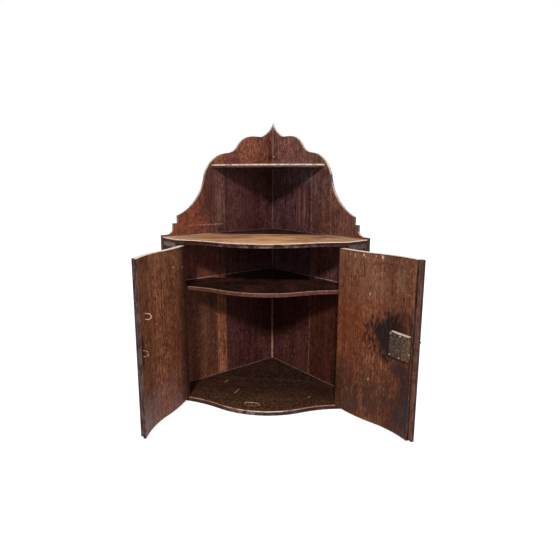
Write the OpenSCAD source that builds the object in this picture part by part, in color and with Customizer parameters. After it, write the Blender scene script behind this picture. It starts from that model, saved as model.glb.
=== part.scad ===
// Hanging corner cupboard: two shaped back walls, serpentine top, bottom and shelf,
// a pair of serpentine doors, a small gallery shelf and a box lock.
// Millimetres, +Z up. The origin is the foot of the room corner that the cupboard stands in,
// +X runs to the right and -Y runs out into the room.

/* [Carcass] */
// Length of each back wall, from the inside corner to its front edge
wall_len = 474; // [440:1:520]
// Thickness of the back wall boards
back_t = 13; // [10:0.5:18]
// Thickness of the bottom boards
bottom_t = 14; // [11:0.5:20]
// Thickness of the top boards
top_t = 14; // [12:0.5:20]
// Height from the upper face of the bottom to the upper face of the top
compartment_h = 540; // [480:1:600]
// Width of the return stile, measured square to the wall
return_len = 84; // [70:1:100]
// Thickness of the return stile
stile_t = 20; // [16:1:26]
// Distance from the front edge of the wall back to the outer face of the return stile
stile_inset = 16; // [12:1:22]
// Distance from the inside corner to the joint between front and back boards
board_joint = 217; // [190:1:240]
// Shrinkage gap between neighbouring boards
board_gap = 0.5; // [0.3:0.1:1]
// Distance from the corner to the first upright joint in the left wall
left_joint_1 = 225; // [215:1:235]
// Distance from the corner to the second upright joint in the left wall
left_joint_2 = 264; // [255:1:275]
// Distance from the corner to the upright joint in the right wall
right_joint = 220; // [212:1:228]

/* [Serpentine front] */
// How far the middle of the front stands out past the hinge lines
bow = 75; // [60:1:90]
// Radius of the outward curve in the middle of the front
centre_r = 285; // [270:1:300]
// Angle between the front and the room's diagonal at the hinge line
hinge_slope = 8; // [5:0.5:10]
// How far the bottom board stands out past the door faces
bottom_overhang = 5; // [3:0.5:8]
// Radius of the rounded upper edge of the bottom board
bottom_round = 5; // [3:0.5:6]
// Radius of the half-round bead along the upper edge of the top
top_bead_r = 4; // [3:0.5:5]

/* [Inner shelf] */
// Height of the shelf's upper face above the bottom boards
shelf_h = 381; // [340:1:400]
// Thickness of the inner shelf
shelf_t = 12; // [10:0.5:16]
// Gap between the closed doors and the shelf's front edge
shelf_gap = 2; // [1:0.5:4]
// Radius of the rounded upper edge of the shelves
shelf_round = 4; // [2:0.5:5]
// Depth of the housings that the shelves slide into
housing_depth = 5; // [3:0.5:6]
// Clearance round a shelf in its housing
housing_gap = 0.2; // [0.1:0.05:0.3]

/* [Gallery] */
// Height of the pointed apex, at the back corner, above the top board
apex_h = 401; // [384:1:434]
// Height of the flat at the front foot of the wall
foot_h = 5; // [3:1:8]
// Length of that flat
foot_flat = 20; // [14:1:24]
// Radius of the hollow behind the flat
foot_hollow_r = 24; // [20:1:28]
// Height of the step above the hollow
step_h = 42; // [38:1:48]
// Width of the flat on that step
step_w = 17; // [12:1:22]
// Height of the upright edge above the step
step_rise = 25.5; // [20:0.5:30]
// Radius of the long hollow sweep
sweep_r = 171; // [165:1:178]
// Radius of the round shoulder
shoulder_r = 112; // [106:1:118]
// Radius of the round lobe below the apex
lobe_r = 85; // [80:1:90]
// Radius of the small hollow between the shoulder and the lobe
notch_r = 60; // [50:1:70]
// Width of the flat crown of the lobe
lobe_crown = 39; // [30:1:48]
// Height of the gallery's point above its lobe
apex_point_h = 56; // [50:1:62]
// Half of the width of that point's foot, along the wall
apex_foot = 51; // [46:1:58]
// Radius of the hollow that runs up to the apex
apex_hollow_r = 120; // [100:1:150]
// Height of the apex above the gallery shelf's upper face
gallery_shelf_drop = 160; // [148:1:175]
// Thickness of the gallery shelf
gallery_shelf_t = 12; // [10:0.5:16]
// Distance from the corner to the gallery shelf's ends, along the wall
gallery_shelf_reach = 277; // [255:1:282]
// How far the gallery shelf's front edge bows out
gallery_bow = 22; // [14:1:30]

/* [Return mouldings] */
// Height of the moulding under the top on each return
cornice_h = 22; // [16:1:28]
// How far that moulding stands out from the stile
cornice_w = 12; // [8:1:15]
// Width of the flat along that moulding's upper edge
cornice_lip = 3; // [2:0.5:4]

/* [Doors] */
// Thickness of the doors
door_t = 18; // [16:1:22]
// Gap between a door's hinge edge and its stile
door_gap = 1.5; // [1:0.1:2.5]
// Gap between the bottom board and the doors
door_foot_gap = 3; // [2:0.5:5]
// Gap between the doors and the top board
door_head_gap = 6; // [4:0.5:9]
// Width of the rebates where the doors meet
meeting_lap = 10; // [7:0.5:13]
// Gap between the faces of the rebates
meeting_gap = 1; // [0.8:0.1:1.6]
// Angle at which the left door stands open
left_open_angle = 84.5; // [80:0.5:90]
// Angle at which the right door stands open
right_open_angle = 119; // [110:0.5:125]

/* [Hinges] */
// Length of the butt hinges
hinge_len = 52; // [44:1:64]
// Outer radius of the hinge knuckles
knuckle_r = 4; // [3.5:0.1:4.5]
// Radius of the hinge pins
hinge_pin_r = 1.8; // [1.5:0.05:2]
// Running clearance round the hinge pins
pin_clearance = 0.05; // [0.03:0.01:0.09]
// Thickness of the hinge leaves
leaf_t = 1.5; // [1.2:0.1:2]
// Width of the hinge leaves
leaf_w = 16; // [14:0.5:17]
// How far the pin stands out from the door's face
pin_proud = 3; // [2.6:0.1:3.4]
// Distance from the ends of a door to the middle of its hinges
hinge_from_end = 88; // [70:1:110]

/* [Lock and fittings] */
// Width of the lock case
lock_w = 65; // [60:1:70]
// Height of the lock case
lock_h = 70; // [66:1:76]
// Depth of the lock case
lock_d = 13; // [12.5:0.5:16]
// Wall thickness of the lock case
lock_wall = 1.5; // [1.2:0.1:2]
// Thickness of the plate between the lock case and the door
lock_plate_t = 1.5; // [1.2:0.1:2]
// Height of the middle of the lock above the bottom boards
lock_z = 273; // [255:1:290]
// Distance from the middle of the front to the lock case, with the door closed
lock_in = 13.5; // [13:0.5:20]
// Width of the cap that covers the works
cap_w = 42; // [38:1:46]
// Thickness of that cap
cap_t = 1.2; // [1:0.1:1.6]
// Height of the lock bolt
bolt_h = 12; // [11:0.5:13]
// Thickness of the lock bolt
bolt_t = 4; // [3:0.5:4.5]
// Travel of the lock bolt, in two turns of the key
bolt_travel = 22; // [20:1:23]
// How far the bolt stands out of the case when it is drawn back
bolt_rest = 5; // [3:0.5:6]
// Running clearance round the lock bolt
bolt_gap = 0.4; // [0.3:0.05:0.5]
// Gap between the lock bolt and the bosses of the screws below it
bolt_boss_gap = 1; // [0.5:0.1:2]
// How far the key's pin lies above the middle of the bolt
key_lift = 10; // [9.5:0.25:11]
// Radius of the key's pin
key_pin_r = 0.9; // [0.7:0.05:1.1]
// Radius of the keyhole's round end
keyhole_r = 2; // [1.8:0.1:2]
// Height of the keyhole below its round end
keyhole_drop = 8; // [6:0.5:9]
// Largest radius of the door knob
knob_r = 3.5; // [3:0.1:4]
// How far the knob stands out from the door
knob_reach = 14.5; // [13:0.5:16]
// Radius of the wire of the staples
wire_r = 1.4; // [1.2:0.1:1.6]
// Distance between the legs of the door staples
staple_w = 17; // [16.6:0.2:19]
// How far the left door's staple stands out
staple_reach = 20; // [18:0.5:22]
// How far the lock's keep stands out
keep_reach = 16; // [15.5:0.5:18]
// Distance from the left door's meeting edge to the keep
keep_in = 8.5; // [8:0.5:10]
// Length of the low staple on the bottom board
floor_staple_len = 52; // [44:1:58]
// Height of the low staple on the bottom board
floor_staple_h = 9; // [8:0.5:12]
// Distance from the left door's meeting edge to its staple
left_staple_in = 36; // [30:1:44]
// Height of that staple above the bottom boards
left_staple_h = 352; // [330:1:370]
// Distance from the inside corner to the low staple
floor_staple_out = 421; // [410:1:426]
// How far the low staple lies to the left of the middle
floor_staple_side = 24; // [17:1:31]
// Distance from the right door's meeting edge to the knob
knob_in = 9; // [7:0.5:11]
// Height of the knob above the bottom boards
knob_h = 289; // [275:1:305]
// Radius of the hanging hole in the right wall
hanging_hole_r = 3; // [2.5:0.1:3.5]
// Distance from the corner to the hanging hole
hanging_hole_s = 23; // [18:1:30]
// Height of the hanging hole above the gallery shelf
hanging_hole_h = 23; // [15:1:30]
// Distance from the corner to the round-headed screw
hanging_screw_s = 5.5; // [5:0.5:8]
// Height of the round-headed screw above the gallery shelf
hanging_screw_h = 32; // [26:1:38]
// Radius of the round-headed screw's shank in the corner
hanging_screw_r = 1.8; // [1.5:0.1:2.2]

/* [Nails and screws] */
// Radius of the nail shanks
nail_r = 1.3; // [1:0.1:1.6]
// Radius of the nail heads, driven flush with the back of the walls
nail_head_r = 3.2; // [2.8:0.1:4]
// Thickness of the nail heads
nail_head_t = 1.2; // [1:0.1:1.6]
// Depth that the nails reach into the boards behind the wall
nail_bite = 20; // [16:1:24]
// Radius of the wood screws' shanks
screw_r = 1.3; // [1:0.1:1.4]
// Length of the wood screws
screw_len = 12; // [10:0.5:14]
// Clearance round every nail and screw
fixing_gap = 0.05; // [0.03:0.01:0.08]

/* [Hidden] */

LEFT = 0;
RIGHT = 1;
// How far a cut runs past the face that it opens
past = 1;
// Longer than any board, for cuts that go right through
far = 1200;

door_wood = [0.37, 0.22, 0.15];
back_wood = [0.26, 0.15, 0.12];
top_wood = [0.45, 0.30, 0.20];
shelf_wood = [0.30, 0.18, 0.14];
brass = [0.62, 0.50, 0.30];
iron = [0.33, 0.29, 0.26];

// Heights of the faces of the carcass
floor_z = bottom_t;
top_z = floor_z + compartment_h;
under_top_z = top_z - top_t;
shelf_z = floor_z + shelf_h;
gallery_z = top_z + apex_h - gallery_shelf_drop;

// The inside corner lies in front of the room corner by the diagonal of the wall boards
corner_y = -back_t * sqrt(2);
// Outer face of the return stile, and the hinge line where it meets the door's face
stile_s = wall_len - stile_inset;
hinge_x = (stile_s - return_len) / sqrt(2);
hinge_y = corner_y - (stile_s + return_len) / sqrt(2);

// Middle of the outward curve, and the hollow curve that leads from it to the hinge line
centre_y = hinge_y - bow + centre_r;
side_r = (hinge_x * hinge_x + bow * bow - 2 * bow * centre_r)
    / (2 * (centre_r - hinge_x * sin(hinge_slope) - (centre_r - bow) * cos(hinge_slope)));
side_x = hinge_x + side_r * sin(hinge_slope);
side_y = hinge_y - side_r * cos(hinge_slope);
// Direction from the middle of the outward curve to the middle of the right hollow curve
turn_angle = atan2(side_y - centre_y, side_x);

door_z = floor_z + door_foot_gap;
door_h = compartment_h - top_t - door_foot_gap - door_head_gap;
pin_y = hinge_y - pin_proud;
hinge_heights = [door_z + hinge_from_end, door_z + door_h - hinge_from_end];
// Half of the clear space between a hinge's closed leaves
leaf_gap = 0.15;
// Each knuckle is a third of the hinge, with a little play at its ends
knuckle_len = hinge_len / 3;
knuckle_play = 0.15;

// The lock's middle, the level of its bolt above the seat, and the keep that the bolt enters
lock_x = hinge_x - lock_in - lock_w / 2;
lock_mid_z = floor_z + lock_z;
bolt_level = lock_d - lock_wall - bolt_gap - bolt_t;
// How far the screws lie in from the edges of the cap, and the width of their bosses
screw_in = 4;
boss_w = 8;
// How far the bolt and the key's pin lie below the middle of the lock
bolt_drop = lock_h / 2 - screw_in - boss_w / 2 - bolt_boss_gap - bolt_h / 2;
key_drop = bolt_drop - key_lift;
keep_z = lock_mid_z - bolt_drop;
key_z = lock_mid_z - key_drop;
// Depth that the lock's seat is planed below the ends of its chord
lock_bed = 1;
lock_seat_r = sqrt(pow(centre_r - door_t, 2) - pow(lock_w / 2, 2)) + lock_bed;

// Directions from each arc's middle to the places where the gallery's curves meet
sweep_angles = [249.9, 188];
shoulder_angles = [18, 87];
lobe_angles = [31, 90];

// ---- Curves ------------------------------------------------------------

// Points along an arc about c, from angle a0 to angle a1
function arc(c, r, a0, a1, n = 10) =
    [for (i = [0:n]) c + r * [cos(a0 + (a1 - a0) * i / n), sin(a0 + (a1 - a0) * i / n)]];

// Points along the arc of radius r from p to q, curving to the right of the way
function arc_between(p, q, r, n = 8) =
    let (d = q - p, half = norm(d) / 2, side = [d[1], -d[0]] / norm(d),
        c = (p + q) / 2 + side * sqrt(r * r - half * half),
        a0 = atan2(p[1] - c[1], p[0] - c[0]), raw = atan2(q[1] - c[1], q[0] - c[0]) - a0,
        sweep = raw > 180 ? raw - 360 : raw < -180 ? raw + 360 : raw)
    arc(c, r, a0, a0 + sweep, n);

// Point at an angle on the circle of radius r about c
function around(c, r, a) = c + r * [cos(a), sin(a)];

// Upper outline of a back wall: [distance from the corner, height above the top board]
function gallery_outline() =
    let (hollow_c = [wall_len - foot_flat, foot_h + foot_hollow_r],
        step_front = [hollow_c[0] - foot_hollow_r, step_h],
        step_end = step_front - [step_w, 0],
        upright_end = step_end + [0, step_rise],
        sweep_c = around(upright_end, -sweep_r, sweep_angles[0]),
        sweep_end = around(sweep_c, sweep_r, sweep_angles[1]),
        shoulder_c = around(sweep_end, -shoulder_r, shoulder_angles[0]),
        shoulder_end = around(shoulder_c, shoulder_r, shoulder_angles[1]),
        lobe_c = [apex_foot + lobe_crown, apex_h - apex_point_h - lobe_r],
        lobe_start = around(lobe_c, lobe_r, lobe_angles[0]))
    concat(
        [[wall_len, 0], [wall_len, foot_h]],
        arc(hollow_c, foot_hollow_r, 270, 180),
        [step_front, step_end],
        arc(sweep_c, sweep_r, sweep_angles[0], sweep_angles[1], 14),
        arc(shoulder_c, shoulder_r, shoulder_angles[0], shoulder_angles[1], 12),
        arc_between(shoulder_end, lobe_start, notch_r, 4),
        arc(lobe_c, lobe_r, lobe_angles[0], lobe_angles[1]),
        arc_between([apex_foot, apex_h - apex_point_h], [-back_t, apex_h], apex_hollow_r, 8));

// ---- Placing -----------------------------------------------------------

module on_side(side) {
    if (side == LEFT) children();
    else mirror([1, 0, 0]) children();
}

// The left wall's own frame: +X along the wall from the corner, +Y into the cupboard
module on_wall() {
    translate([0, corner_y, 0]) rotate([0, 0, 225]) children();
}

// The left door's own frame: closed, seen from the hinge line
module hung(open) {
    translate([-hinge_x, pin_y, 0]) rotate([0, 0, -open]) translate([hinge_x, -pin_y, 0]) children();
}

module on_left_door() {
    hung(left_open_angle) children();
}

module on_right_door() {
    mirror([1, 0, 0]) hung(right_open_angle) children();
}

// Frame on a door's curved face: +X to the meeting edge, +Y up, +Z out of the wood
module on_door_face(from_hinge, z, radius, outwards) {
    turn = asin((hinge_x - from_hinge) / centre_r);
    translate([-radius * sin(turn), centre_y - radius * cos(turn), z])
        rotate([0, 0, -turn]) rotate([90, 0, 0]) mirror([0, 0, outwards ? 0 : 1]) children();
}

module on_outer_face(from_hinge, z) {
    on_door_face(from_hinge, z, centre_r, true) children();
}

module on_inner_face(from_hinge, z) {
    on_door_face(from_hinge, z, centre_r - door_t, false) children();
}

// ---- Plan outlines -----------------------------------------------------

// Everything behind the serpentine line, moved outwards by d
module behind(d) {
    intersection() {
        translate([0, centre_y]) circle(r = centre_r + d, $fn = 240);
        polygon([[0, centre_y], [-side_x, side_y], [0, side_y - centre_r], [side_x, side_y]]);
    }
    for (m = [0, 1]) mirror([m, 0]) {
        difference() {
            polygon([[0, centre_y], [side_x, side_y], [far, side_y], [far, far], [0, far]]);
            translate([side_x, side_y]) circle(r = side_r - d, $fn = 320);
        }
        seam_cover(centre_r + d - 0.1);
    }
}

// Lies across the line on which the outward and the hollow curve's parts meet
module seam_cover(r) {
    half = 5;
    middle = [0, centre_y];
    polygon([middle, around(middle, r - 1, turn_angle - half), around(middle, r, turn_angle),
        around(middle, r - 1, turn_angle + half)]);
}

// Half of the plan on one side of a joint across the corner
module joint_half(front) {
    y = corner_y - board_joint;
    if (front) translate([-far, y - board_gap / 2 - far]) square([2 * far, far]);
    else translate([-far, y + board_gap / 2]) square([2 * far, far]);
}

// ---- Edge mouldings ----------------------------------------------------
// A profile's edge is at x = 0 and its wood at x < 0, at least `reach` wide

// Half-round bead over a set-back fillet
module bead_profile(t) {
    translate([-2 * top_bead_r, 0]) square([top_bead_r, t]);
    translate([-top_bead_r, t - top_bead_r]) circle(r = top_bead_r, $fn = 32);
}

// Quarter-round upper edge
module round_profile(t, r) {
    translate([-r, 0]) square([r, t - r]);
    intersection() {
        translate([-r, t - r]) circle(r = r, $fn = 32);
        translate([-r, t - r]) square(r);
    }
}

// Board behind the serpentine line moved out by d, with the profile along its front
module serpentine_board(t, d, reach) {
    intersection() {
        translate([0, centre_y, 0]) rotate_extrude($fn = 240) {
            square([centre_r + d - reach, t]);
            translate([centre_r + d, 0]) children();
        }
        linear_extrude(t)
            polygon([[0, centre_y], [-side_x, side_y], [0, side_y - centre_r], [side_x, side_y]]);
    }
    for (m = [0, 1]) mirror([m, 0, 0]) difference() {
        linear_extrude(t) polygon([[0, centre_y], [side_x, side_y], [far, side_y], [far, far], [0, far]]);
        translate([side_x, side_y, -past]) rotate_extrude($fn = 320) difference() {
            square([side_r - d + reach, t + 2 * past]);
            translate([side_r - d, past]) mirror([1, 0]) children();
        }
    }
}

// Square board in the corner, with the profile along both edges at distance s
module square_board(t, s, reach) {
    intersection_for (m = [0, 1]) mirror([m, 0, 0]) on_wall()
        translate([0, s, 0]) rotate([90, 0, 0]) linear_extrude(s) {
            square([s - reach, t]);
            translate([s, 0]) children();
        }
}

// One half of a moulded board that fills the corner
module corner_board(front, t, s, d, reach) {
    intersection() {
        if (front) serpentine_board(t, d, reach) children();
        if (front) square_board(t, s, reach) children();
        if (!front) linear_extrude(t) translate([0, corner_y]) rotate(225) square(s);
        linear_extrude(t) joint_half(front);
    }
}

// ---- Nails and screws --------------------------------------------------

// [distance along the wall, height] of the nails through a wall, at parts of its boards' widths
function nail_places(side) =
    let (inner = side == LEFT ? left_joint_1 : right_joint,
        front = board_joint * sqrt(2),
        middle = (inner + (side == LEFT ? left_joint_2 : front)) / 2,
        front_w = wall_len - front)
    concat(
        [for (s = [0.4 * inner, middle, front + 0.21 * front_w, front + 0.72 * front_w],
            z = [bottom_t / 2, top_z - top_t / 2]) [s, z]],
        [for (part = [0.24, 0.66]) [front + part * front_w, shelf_z - shelf_t / 2]],
        [for (part = [0.42, 0.9]) [part * inner, gallery_z - gallery_shelf_t / 2]],
        [for (part = [0.2, 0.5, 0.8]) [stile_s - stile_t / 2, floor_z + part * compartment_h]]);

module wall_nail_set(side, grow = 0) {
    on_side(side) on_wall() for (p = nail_places(side))
        translate([p[0], -back_t, p[1]]) rotate([-90, 0, 0]) {
            cylinder(r = nail_r + grow, h = back_t + nail_bite + grow, $fn = 24);
            translate([0, 0, grow > 0 ? -past : 0])
                cylinder(r = nail_head_r + grow, h = nail_head_t + (grow > 0 ? past + grow : 0), $fn = 24);
        }
}

module nail_holes() {
    for (side = [LEFT, RIGHT]) wall_nail_set(side, fixing_gap);
}

// Countersunk wood screw of the given length; its head's face is at z = 0 and it points down
module wood_screw(head_r, len, grow = 0) {
    head_h = head_r - screw_r;
    translate([0, 0, -head_h]) cylinder(r1 = screw_r + grow, r2 = head_r + grow, h = head_h, $fn = 24);
    translate([0, 0, -len - grow]) cylinder(r = screw_r + grow, h = len + grow - head_h / 2, $fn = 24);
    if (grow > 0) cylinder(r = head_r + grow, h = past, $fn = 24);
}

// ---- Back walls --------------------------------------------------------

module wall_outline() {
    polygon(concat(
        [[-back_t, 0], [wall_len, 0]],
        [for (p = gallery_outline()) p + [0, top_z]]));
}

// A wall board from s0 to s1 along the wall, with its housings and nail holes
module wall_board(side, s0, s1) {
    difference() {
        on_side(side) on_wall() rotate([90, 0, 0]) linear_extrude(back_t) intersection() {
            wall_outline();
            translate([s0, -past]) square([s1 - s0, far]);
        }
        housings();
        nail_holes();
        hanging_holes();
    }
}

// Offset of the inner shelf's front edge from the door's outer face
shelf_set_back = -door_t - shelf_gap;

// The grooves that the shelves slide into
module housings() {
    translate([0, 0, shelf_z - shelf_t - housing_gap]) linear_extrude(shelf_t + 2 * housing_gap)
        intersection() {
            let_in_square(stile_s - stile_t, housing_depth);
            behind(shelf_set_back + housing_gap);
            joint_half(true);
        }
    translate([0, 0, gallery_z - gallery_shelf_t - housing_gap])
        linear_extrude(gallery_shelf_t + 2 * housing_gap) intersection() {
            let_in_square(gallery_shelf_reach + housing_depth, housing_depth);
            translate([0, gallery_bow_y]) circle(r = gallery_bow_r + housing_gap, $fn = 360);
        }
}

// Square between the walls as far as s, and by depth into both
module let_in_square(s, depth) {
    translate([0, corner_y + depth * sqrt(2)]) rotate(225) square(s + depth);
}

// Middle and radius of the gallery shelf's bowed front
gallery_half = gallery_shelf_reach / sqrt(2);
gallery_bow_r = (gallery_half * gallery_half + gallery_bow * gallery_bow) / (2 * gallery_bow);
gallery_bow_y = corner_y - gallery_half - gallery_bow + gallery_bow_r;

module left_back_outer_board() {
    color(back_wood) wall_board(LEFT, left_joint_2 + board_gap / 2, wall_len);
}

module left_back_strip() {
    color(back_wood) wall_board(LEFT, left_joint_1 + board_gap / 2, left_joint_2 - board_gap / 2);
}

module left_back_inner_board() {
    color(back_wood) wall_board(LEFT, 0, left_joint_1 - board_gap / 2);
}

module right_back_outer_board() {
    color(back_wood) wall_board(RIGHT, right_joint + board_gap / 2, wall_len);
}

// This board runs on behind the left wall's end, and there it is shaped to that wall's outline too
module right_back_inner_board() {
    color(back_wood) intersection() {
        wall_board(RIGHT, -back_t, right_joint - board_gap / 2);
        on_wall() translate([0, wall_len, 0]) rotate([90, 0, 0]) linear_extrude(wall_len + back_t + past)
            wall_outline();
    }
}

// [distance from the corner, height] of the hanging hole and of the round-headed screw
hanging_hole_at = [hanging_hole_s, gallery_z + hanging_hole_h];
hanging_screw_at = [hanging_screw_s, gallery_z + hanging_screw_h];

// Frame on the right wall's inner face, +Z into the cupboard
module on_right_wall(at) {
    on_side(RIGHT) on_wall() translate([at[0], 0, at[1]]) rotate([-90, 0, 0]) children();
}

module hanging_holes() {
    through = back_t + 2 * past;
    on_right_wall(hanging_hole_at) translate([0, 0, -back_t - past])
        cylinder(r = hanging_hole_r, h = through, $fn = 32);
    on_right_wall(hanging_screw_at) translate([0, 0, -back_t - past])
        cylinder(r = hanging_screw_r + fixing_gap, h = through, $fn = 24);
}

// ---- Stiles, top, bottom and shelves -------------------------------------

// Return stile between the bottom and the top, with its edge cut in line with the door's
module stile(side) {
    color(door_wood) difference() {
        on_side(side) translate([0, 0, floor_z]) linear_extrude(under_top_z - floor_z) intersection() {
            translate([0, corner_y]) rotate(225) translate([stile_s - stile_t, 0]) square([stile_t, far]);
            translate([-far - hinge_x - door_gap / 2, -far]) square([far, 2 * far]);
        }
        on_side(side) for (z = hinge_heights) hinge_cut(z, false);
        nail_holes();
    }
}

module left_stile() {
    stile(LEFT);
}

module right_stile() {
    stile(RIGHT);
}

module top_plate(front) {
    color(top_wood) difference() {
        translate([0, 0, under_top_z]) corner_board(front, top_t, wall_len, stile_inset, 2 * top_bead_r)
            bead_profile(top_t);
        nail_holes();
    }
}

module top_front_board() {
    top_plate(true);
}

module top_back_board() {
    top_plate(false);
}

module bottom_plate(front) {
    color(shelf_wood) difference() {
        corner_board(front, bottom_t, stile_s + bottom_overhang, bottom_overhang, bottom_round)
            round_profile(bottom_t, bottom_round);
        if (front) floor_staple_legs(fixing_gap);
        nail_holes();
    }
}

module bottom_front_board() {
    bottom_plate(true);
}

module bottom_back_board() {
    bottom_plate(false);
}

// The shelf stops short of the corner and ends against the stiles
module inner_shelf() {
    color(shelf_wood) difference() {
        translate([0, 0, shelf_z - shelf_t]) intersection() {
            serpentine_board(shelf_t, shelf_set_back, shelf_round) round_profile(shelf_t, shelf_round);
            linear_extrude(shelf_t) intersection() {
                let_in_square(stile_s - stile_t - housing_gap, housing_depth - housing_gap);
                translate([0, -housing_gap]) joint_half(true);
            }
        }
        nail_holes();
    }
}

module gallery_shelf() {
    color(shelf_wood) difference() {
        translate([0, 0, gallery_z - gallery_shelf_t]) intersection() {
            linear_extrude(gallery_shelf_t) intersection() {
                let_in_square(gallery_shelf_reach + housing_depth, housing_depth - housing_gap);
                translate([-gallery_half, -far]) square([2 * gallery_half, far]);
            }
            translate([0, gallery_bow_y, 0]) rotate_extrude($fn = 360) {
                square([gallery_bow_r - shelf_round, gallery_shelf_t]);
                translate([gallery_bow_r, 0]) round_profile(gallery_shelf_t, shelf_round);
            }
        }
        nail_holes();
    }
}

// Hollow moulding under the top on each return
module cornice_return(side) {
    color(door_wood) on_side(side) on_wall()
        translate([stile_s, return_len - cornice_set_back, under_top_z - cornice_h])
            rotate([90, 0, 0]) linear_extrude(return_len - cornice_set_back) difference() {
                square([cornice_w, cornice_h]);
                translate([cornice_w, 0]) circle(r = cornice_w - cornice_lip, $fn = 48);
            }
}
// How far the moulding stops short of the hinge line
cornice_set_back = 4;

module left_cornice_return() {
    cornice_return(LEFT);
}

module right_cornice_return() {
    cornice_return(RIGHT);
}

module left_wall_nails() {
    color(iron) wall_nail_set(LEFT);
}

module right_wall_nails() {
    color(iron) wall_nail_set(RIGHT);
}

// ---- Doors -------------------------------------------------------------

// Plan of a closed left door between two depths behind its outer face
module door_plan(outer, inner, reach) {
    intersection() {
        difference() {
            behind(-outer);
            behind(-inner);
        }
        translate([-hinge_x + door_gap / 2, -far]) square([hinge_x - door_gap / 2 + reach, far]);
    }
}

// outer_reach and inner_reach: how far each half of the thickness passes the middle;
// a tongue that lies behind the other door's lip is thinned by tongue_gap
module door_leaf(outer_reach, inner_reach, tongue_gap = 0) {
    translate([0, 0, door_z]) linear_extrude(door_h) {
        door_plan(0, door_t / 2, outer_reach);
        door_plan(door_t / 2, door_t, min(outer_reach, inner_reach));
        if (inner_reach > outer_reach) door_plan(door_t / 2 + tongue_gap, door_t, inner_reach);
    }
}

module left_door() {
    color(door_wood) on_left_door() difference() {
        door_leaf(-meeting_lap / 2 - meeting_gap, meeting_lap / 2, lap_face_gap);
        for (z = hinge_heights) hinge_cut(z, true);
        staple_legs(left_staple_x, left_staple_z, fixing_gap);
        staple_legs(keep_x, keep_z, fixing_gap);
    }
}
// Gap between the faces that lie on each other where the doors meet
lap_face_gap = 0.6;

module right_door() {
    color(door_wood) on_right_door() difference() {
        door_leaf(meeting_lap / 2, -meeting_lap / 2 - meeting_gap);
        for (z = hinge_heights) hinge_cut(z, true);
        on_lock() {
            translate([-lock_w / 2 - bed_gap, -lock_h / 2 - bed_gap, 0])
                cube([lock_w + 2 * bed_gap, lock_h + 2 * bed_gap, lock_d]);
            translate([0, 0, -2 * door_t]) keyhole(3 * door_t);
            lock_screw_set(fixing_gap);
        }
        on_outer_face(knob_x, knob_z) translate([0, 0, -knob_tang])
            cylinder(r = knob_tang_r + fixing_gap, h = knob_tang + past, $fn = 24);
        escutcheon_pin_set(fixing_gap);
    }
}
// Clearance round the lock in its planed seat
bed_gap = 0.5;

// ---- Hinges ------------------------------------------------------------

// Frame at a hinge: z = 0 is its middle, the pin on the Z axis, leaves towards +Y
module at_hinge(z) {
    translate([-hinge_x, pin_y, z]) children();
}

// One leaf with its knuckles; the stile's leaf has the two outer ones
module hinge_leaf(for_door) {
    own = for_door ? [0] : [-1, 1];
    others = for_door ? [-1, 1] : [0];
    difference() {
        union() {
            translate([for_door ? leaf_gap : -leaf_gap - leaf_t, 0, -hinge_len / 2])
                cube([leaf_t, leaf_w, hinge_len]);
            for (i = own) knuckle(i, knuckle_r, -knuckle_play);
        }
        for (i = others) knuckle(i, knuckle_r + knuckle_play, knuckle_play);
        cylinder(r = hinge_pin_r + pin_clearance, h = hinge_len + 2 * past, center = true, $fn = 32);
        leaf_screw_set(for_door, fixing_gap);
    }
}

// The i-th third of the hinge's length, longer by grow at the ends that face its neighbours
module knuckle(i, r, grow) {
    low = i * knuckle_len - knuckle_len / 2 - (i == -1 ? 0 : grow);
    high = i * knuckle_len + knuckle_len / 2 + (i == 1 ? 0 : grow);
    translate([0, 0, low]) cylinder(r = r, h = high - low, $fn = 48);
}

// [distance from the pin, height] of the screws in each leaf
function leaf_screws() = [for (i = [-1, 0, 1]) [leaf_w - (i == 0 ? 8 : 5), i * hinge_len * 0.34]];
leaf_screw_head_r = 2.8;

module leaf_screw_set(for_door, grow = 0) {
    s = for_door ? 1 : -1;
    for (p = leaf_screws()) translate([s * leaf_gap, p[0], p[1]])
        rotate([0, -s * 90, 0]) wood_screw(leaf_screw_head_r, screw_len, grow);
}

module hinge_pin() {
    cylinder(r = hinge_pin_r, h = hinge_len + 1, center = true, $fn = 32);
    for (s = [-1, 1]) translate([0, 0, s * (hinge_len / 2 + pin_head_h / 2 + knuckle_play)])
        cylinder(r = knuckle_r - 0.6, h = pin_head_h, center = true, $fn = 32);
}
pin_head_h = 1.8;

// Let-in for a leaf, its knuckles and its screws
module hinge_cut(z, for_door) {
    at_hinge(z) {
        translate([for_door ? 0 : -leaf_gap - leaf_t, 0, -hinge_len / 2])
            cube([leaf_gap + leaf_t, leaf_w + 0.1, hinge_len]);
        cylinder(r = knuckle_r + 0.5, h = hinge_len + 2 * pin_head_h + 1, center = true, $fn = 48);
        leaf_screw_set(for_door, fixing_gap);
    }
}

module stile_leaf(side, i) {
    color(brass) on_side(side) at_hinge(hinge_heights[i]) hinge_leaf(false);
}

module left_door_leaf(i) {
    color(brass) on_left_door() at_hinge(hinge_heights[i]) hinge_leaf(true);
}

module right_door_leaf(i) {
    color(brass) on_right_door() at_hinge(hinge_heights[i]) hinge_leaf(true);
}

module pin(side, i) {
    color(brass) on_side(side) at_hinge(hinge_heights[i]) hinge_pin();
}

module left_upper_hinge_stile_leaf() {
    stile_leaf(LEFT, 1);
}

module left_upper_hinge_door_leaf() {
    left_door_leaf(1);
}

module left_upper_hinge_pin() {
    pin(LEFT, 1);
}

module left_lower_hinge_stile_leaf() {
    stile_leaf(LEFT, 0);
}

module left_lower_hinge_door_leaf() {
    left_door_leaf(0);
}

module left_lower_hinge_pin() {
    pin(LEFT, 0);
}

module right_upper_hinge_stile_leaf() {
    stile_leaf(RIGHT, 1);
}

module right_upper_hinge_door_leaf() {
    right_door_leaf(1);
}

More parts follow.
